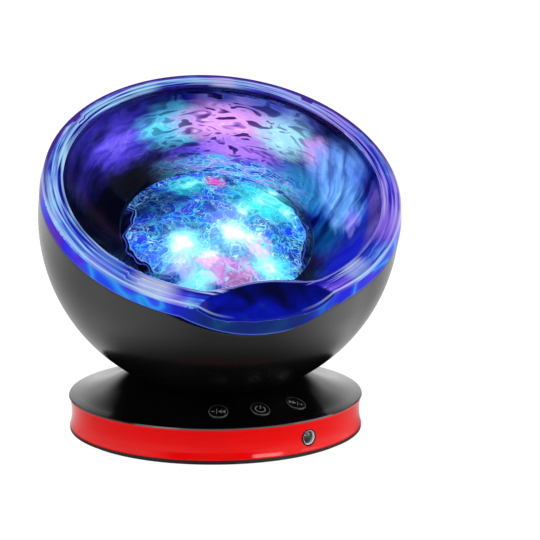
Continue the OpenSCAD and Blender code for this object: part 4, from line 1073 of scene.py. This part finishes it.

# %% [markdown]
# ## Floor, light and finish
# The lamp stands in a white tent. To the camera the floor and the tent are plain white, and the floor keeps
# the shadow. Gloss is drawn by what it mirrors, so mirror rays find a fuller studio: a floor with a painted
# shadow round the foot, painted lighter towards the right, a white backdrop behind the lamp, white wings far
# to both sides, no ceiling, and a band of light high in front, which draws the line along the cover's edge. A
# ray that was mirrored once before finds nothing more, so the black plastic stays black between bowl and
# base.

# %% Floor
floor_shape = bmesh.new()
bmesh.ops.create_grid(floor_shape, x_segments=2, y_segments=2, size=6)
floor = stand("floor", floor_shape)
floor_finish, shader = finish_of("floor_white_matt", {"Base Color": colour("#f2f2f2"), "Roughness": 0.9,
                                                       "Specular IOR Level": 0.0})
path = add(floor_finish, "LightPath")
white = add(floor_finish, "Emission", {"Color": colour("#ffffff"), "Strength": 1.15})
seen = add(floor_finish, "Math", {0: path, 1: 0.8}, operation="MULTIPLY")
mixed = add(floor_finish, "MixShader", {0: seen, 1: shader, 2: white})
spot = add(floor_finish, "TexCoord").outputs["Object"]
away = add(floor_finish, "VectorMath", {0: spot}, operation="LENGTH")
spot = add(floor_finish, "SeparateXYZ", {"Vector": spot})
along = spot.outputs["X"]
aside = add(floor_finish, "Math", {0: along}, operation="ABSOLUTE")
# Painted shadow, seen only in reflections: dark round the foot and in a strip in front, dimmer behind the
# lamp.
shade = add(floor_finish, "MapRange", {"Value": away, "From Min": 0.068, "From Max": 0.1, "To Min": 0.15})
sides = add(floor_finish, "MapRange", {"Value": aside, "From Min": 0.03, "From Max": 0.09, "To Min": 0.45})
# Painted light, seen only in reflections: the floor grows lighter towards the right.
slant = add(floor_finish, "MapRange", {"Value": along, "From Min": -0.1, "From Max": 0.1, "To Min": 0.95,
                                       "To Max": 1.3})
dim = add(floor_finish, "Math", {0: shade, 1: sides}, operation="MULTIPLY")
dim = add(floor_finish, "Math", {0: dim, 1: slant}, operation="MULTIPLY")
rear = add(floor_finish, "MapRange", {"Value": spot.outputs["Y"], "From Min": -0.01, "From Max": 0.03})
far = add(floor_finish, "MapRange", {"Value": away, "From Min": 0.2, "From Max": 0.4, "To Min": 0.75})
dim = add(floor_finish, "Mix", {0: rear, 2: dim, 3: far})
once = add(floor_finish, "Math", {0: path.outputs["Glossy Depth"], 1: 1.5}, operation="LESS_THAN")
dim = add(floor_finish, "Math", {0: dim, 1: once}, operation="MULTIPLY")
dim = add(floor_finish, "Emission", {"Color": colour("#ffffff"), "Strength": dim})
mixed = add(floor_finish, "MixShader", {0: path.outputs["Is Glossy Ray"], 1: mixed, 2: dim})
wire(floor_finish, mixed, floor_finish.node_tree.nodes["Material Output"].inputs["Surface"])
floor.data.materials.append(floor_finish)
print("floor finish:", len(floor_finish.node_tree.nodes), "nodes")

# %% White tent
studio_right, studio_back = (0.976, -0.217, 0), (0.217, 0.976, 0)
world = bpy.data.worlds.new("white_tent")
bpy.context.scene.world = world
world.use_nodes = True
background = world.node_tree.nodes["Background"]
path = add(world, "LightPath")
look = add(world, "TexCoord").outputs["Generated"]
aim = add(world, "SeparateXYZ", {"Vector": look})
across = add(world, "VectorMath", {0: look, 1: studio_right}, operation="DOT_PRODUCT")
across = add(world, "Math", {0: across, 1: 0.015}, operation="ADD")
across = add(world, "Math", {0: across}, operation="ABSOLUTE")
behind = add(world, "VectorMath", {0: look, 1: studio_back}, operation="DOT_PRODUCT")
behind = add(world, "MapRange", {"Value": behind, "From Min": 0.2, "From Max": 0.6, "To Min": 0.1})
backdrop = add(world, "MapRange", {"Value": across, "From Min": 0.36, "From Max": 0.27, "To Max": 0.8})
middle = add(world, "MapRange", {"Value": across, "From Min": 0.22, "From Max": 0.12, "To Max": 0.45})
backdrop = add(world, "Math", {0: backdrop, 1: middle}, operation="ADD")
backdrop = add(world, "Math", {0: backdrop, 1: behind}, operation="MULTIPLY")
wings = add(world, "MapRange", {"Value": across, "From Min": 0.5, "From Max": 0.8, "To Max": 1.25})
panels = add(world, "Math", {0: backdrop, 1: wings}, operation="MAXIMUM")
top = add(world, "MapRange", {"Value": aim.outputs["Z"], "From Min": 0.53, "From Max": 0.32})
height = add(world, "MapRange", {"Value": aim.outputs["Z"], "From Min": 0.46, "From Max": 0.18})
mirrored = add(world, "Math", {0: panels, 1: top}, operation="MULTIPLY")
ahead = add(world, "MapRange", {"Value": aim.outputs["Y"], "From Min": -0.2, "From Max": -0.4})
canopy = thread(world, aim.outputs["Z"], 0.16, 0.55)
canopy = add(world, "Math", {0: canopy, 1: ahead}, operation="MULTIPLY")
mirrored = add(world, "Math", {0: canopy, 1: 3.0, 2: mirrored}, operation="MULTIPLY_ADD")
once = add(world, "Math", {0: path.outputs["Glossy Depth"], 1: 1.5}, operation="LESS_THAN")
mirrored = add(world, "Math", {0: mirrored, 1: once}, operation="MULTIPLY")
through = add(world, "Math", {0: path.outputs["Is Transmission Ray"], 1: height}, operation="MULTIPLY")
seen = add(world, "Math", {0: path.outputs["Is Camera Ray"], 1: through}, operation="MAXIMUM")
crossing = add(world, "Math", {0: path.outputs["Is Glossy Ray"], 1: path.outputs["Is Transmission Ray"]},
               operation="MAXIMUM")
panels = add(world, "Mix", {0: crossing, 2: 0.85, 3: mirrored})
strength = add(world, "Mix", {0: seen, 2: panels, 3: 1.0})
background.inputs["Color"].default_value = colour("#ffffff")
wire(world, strength, background.inputs["Strength"])
print("tent:", len(world.node_tree.nodes), "nodes")

# %% Softboxes
def softbox(name, at, width, height, power):
    """A flat lamp that faces the lamp head."""
    data = bpy.data.lights.new(name, "AREA")
    data.shape, data.size, data.size_y, data.energy = "RECTANGLE", width, height, power
    lamp = bpy.data.objects.new(name, data)
    lamp.location, lamp.visible_camera = at, False
    lamp.rotation_euler = (Vector((0, 0, 0.08)) - lamp.location).to_track_quat("-Z", "Y").to_euler()
    bpy.context.scene.collection.objects.link(lamp)

softbox("left_softbox", Vector((-0.9, -0.5, 0.7)), 0.7, 0.7, 4.0)
softbox("right_softbox", Vector((1.0, -0.3, 0.5)), 0.7, 0.9, 5.2)
softbox("front_strip", Vector((0.5, -0.93, 0.16)), 0.42, 0.12, 1.7)
bpy.context.scene.view_settings.view_transform = "Standard"
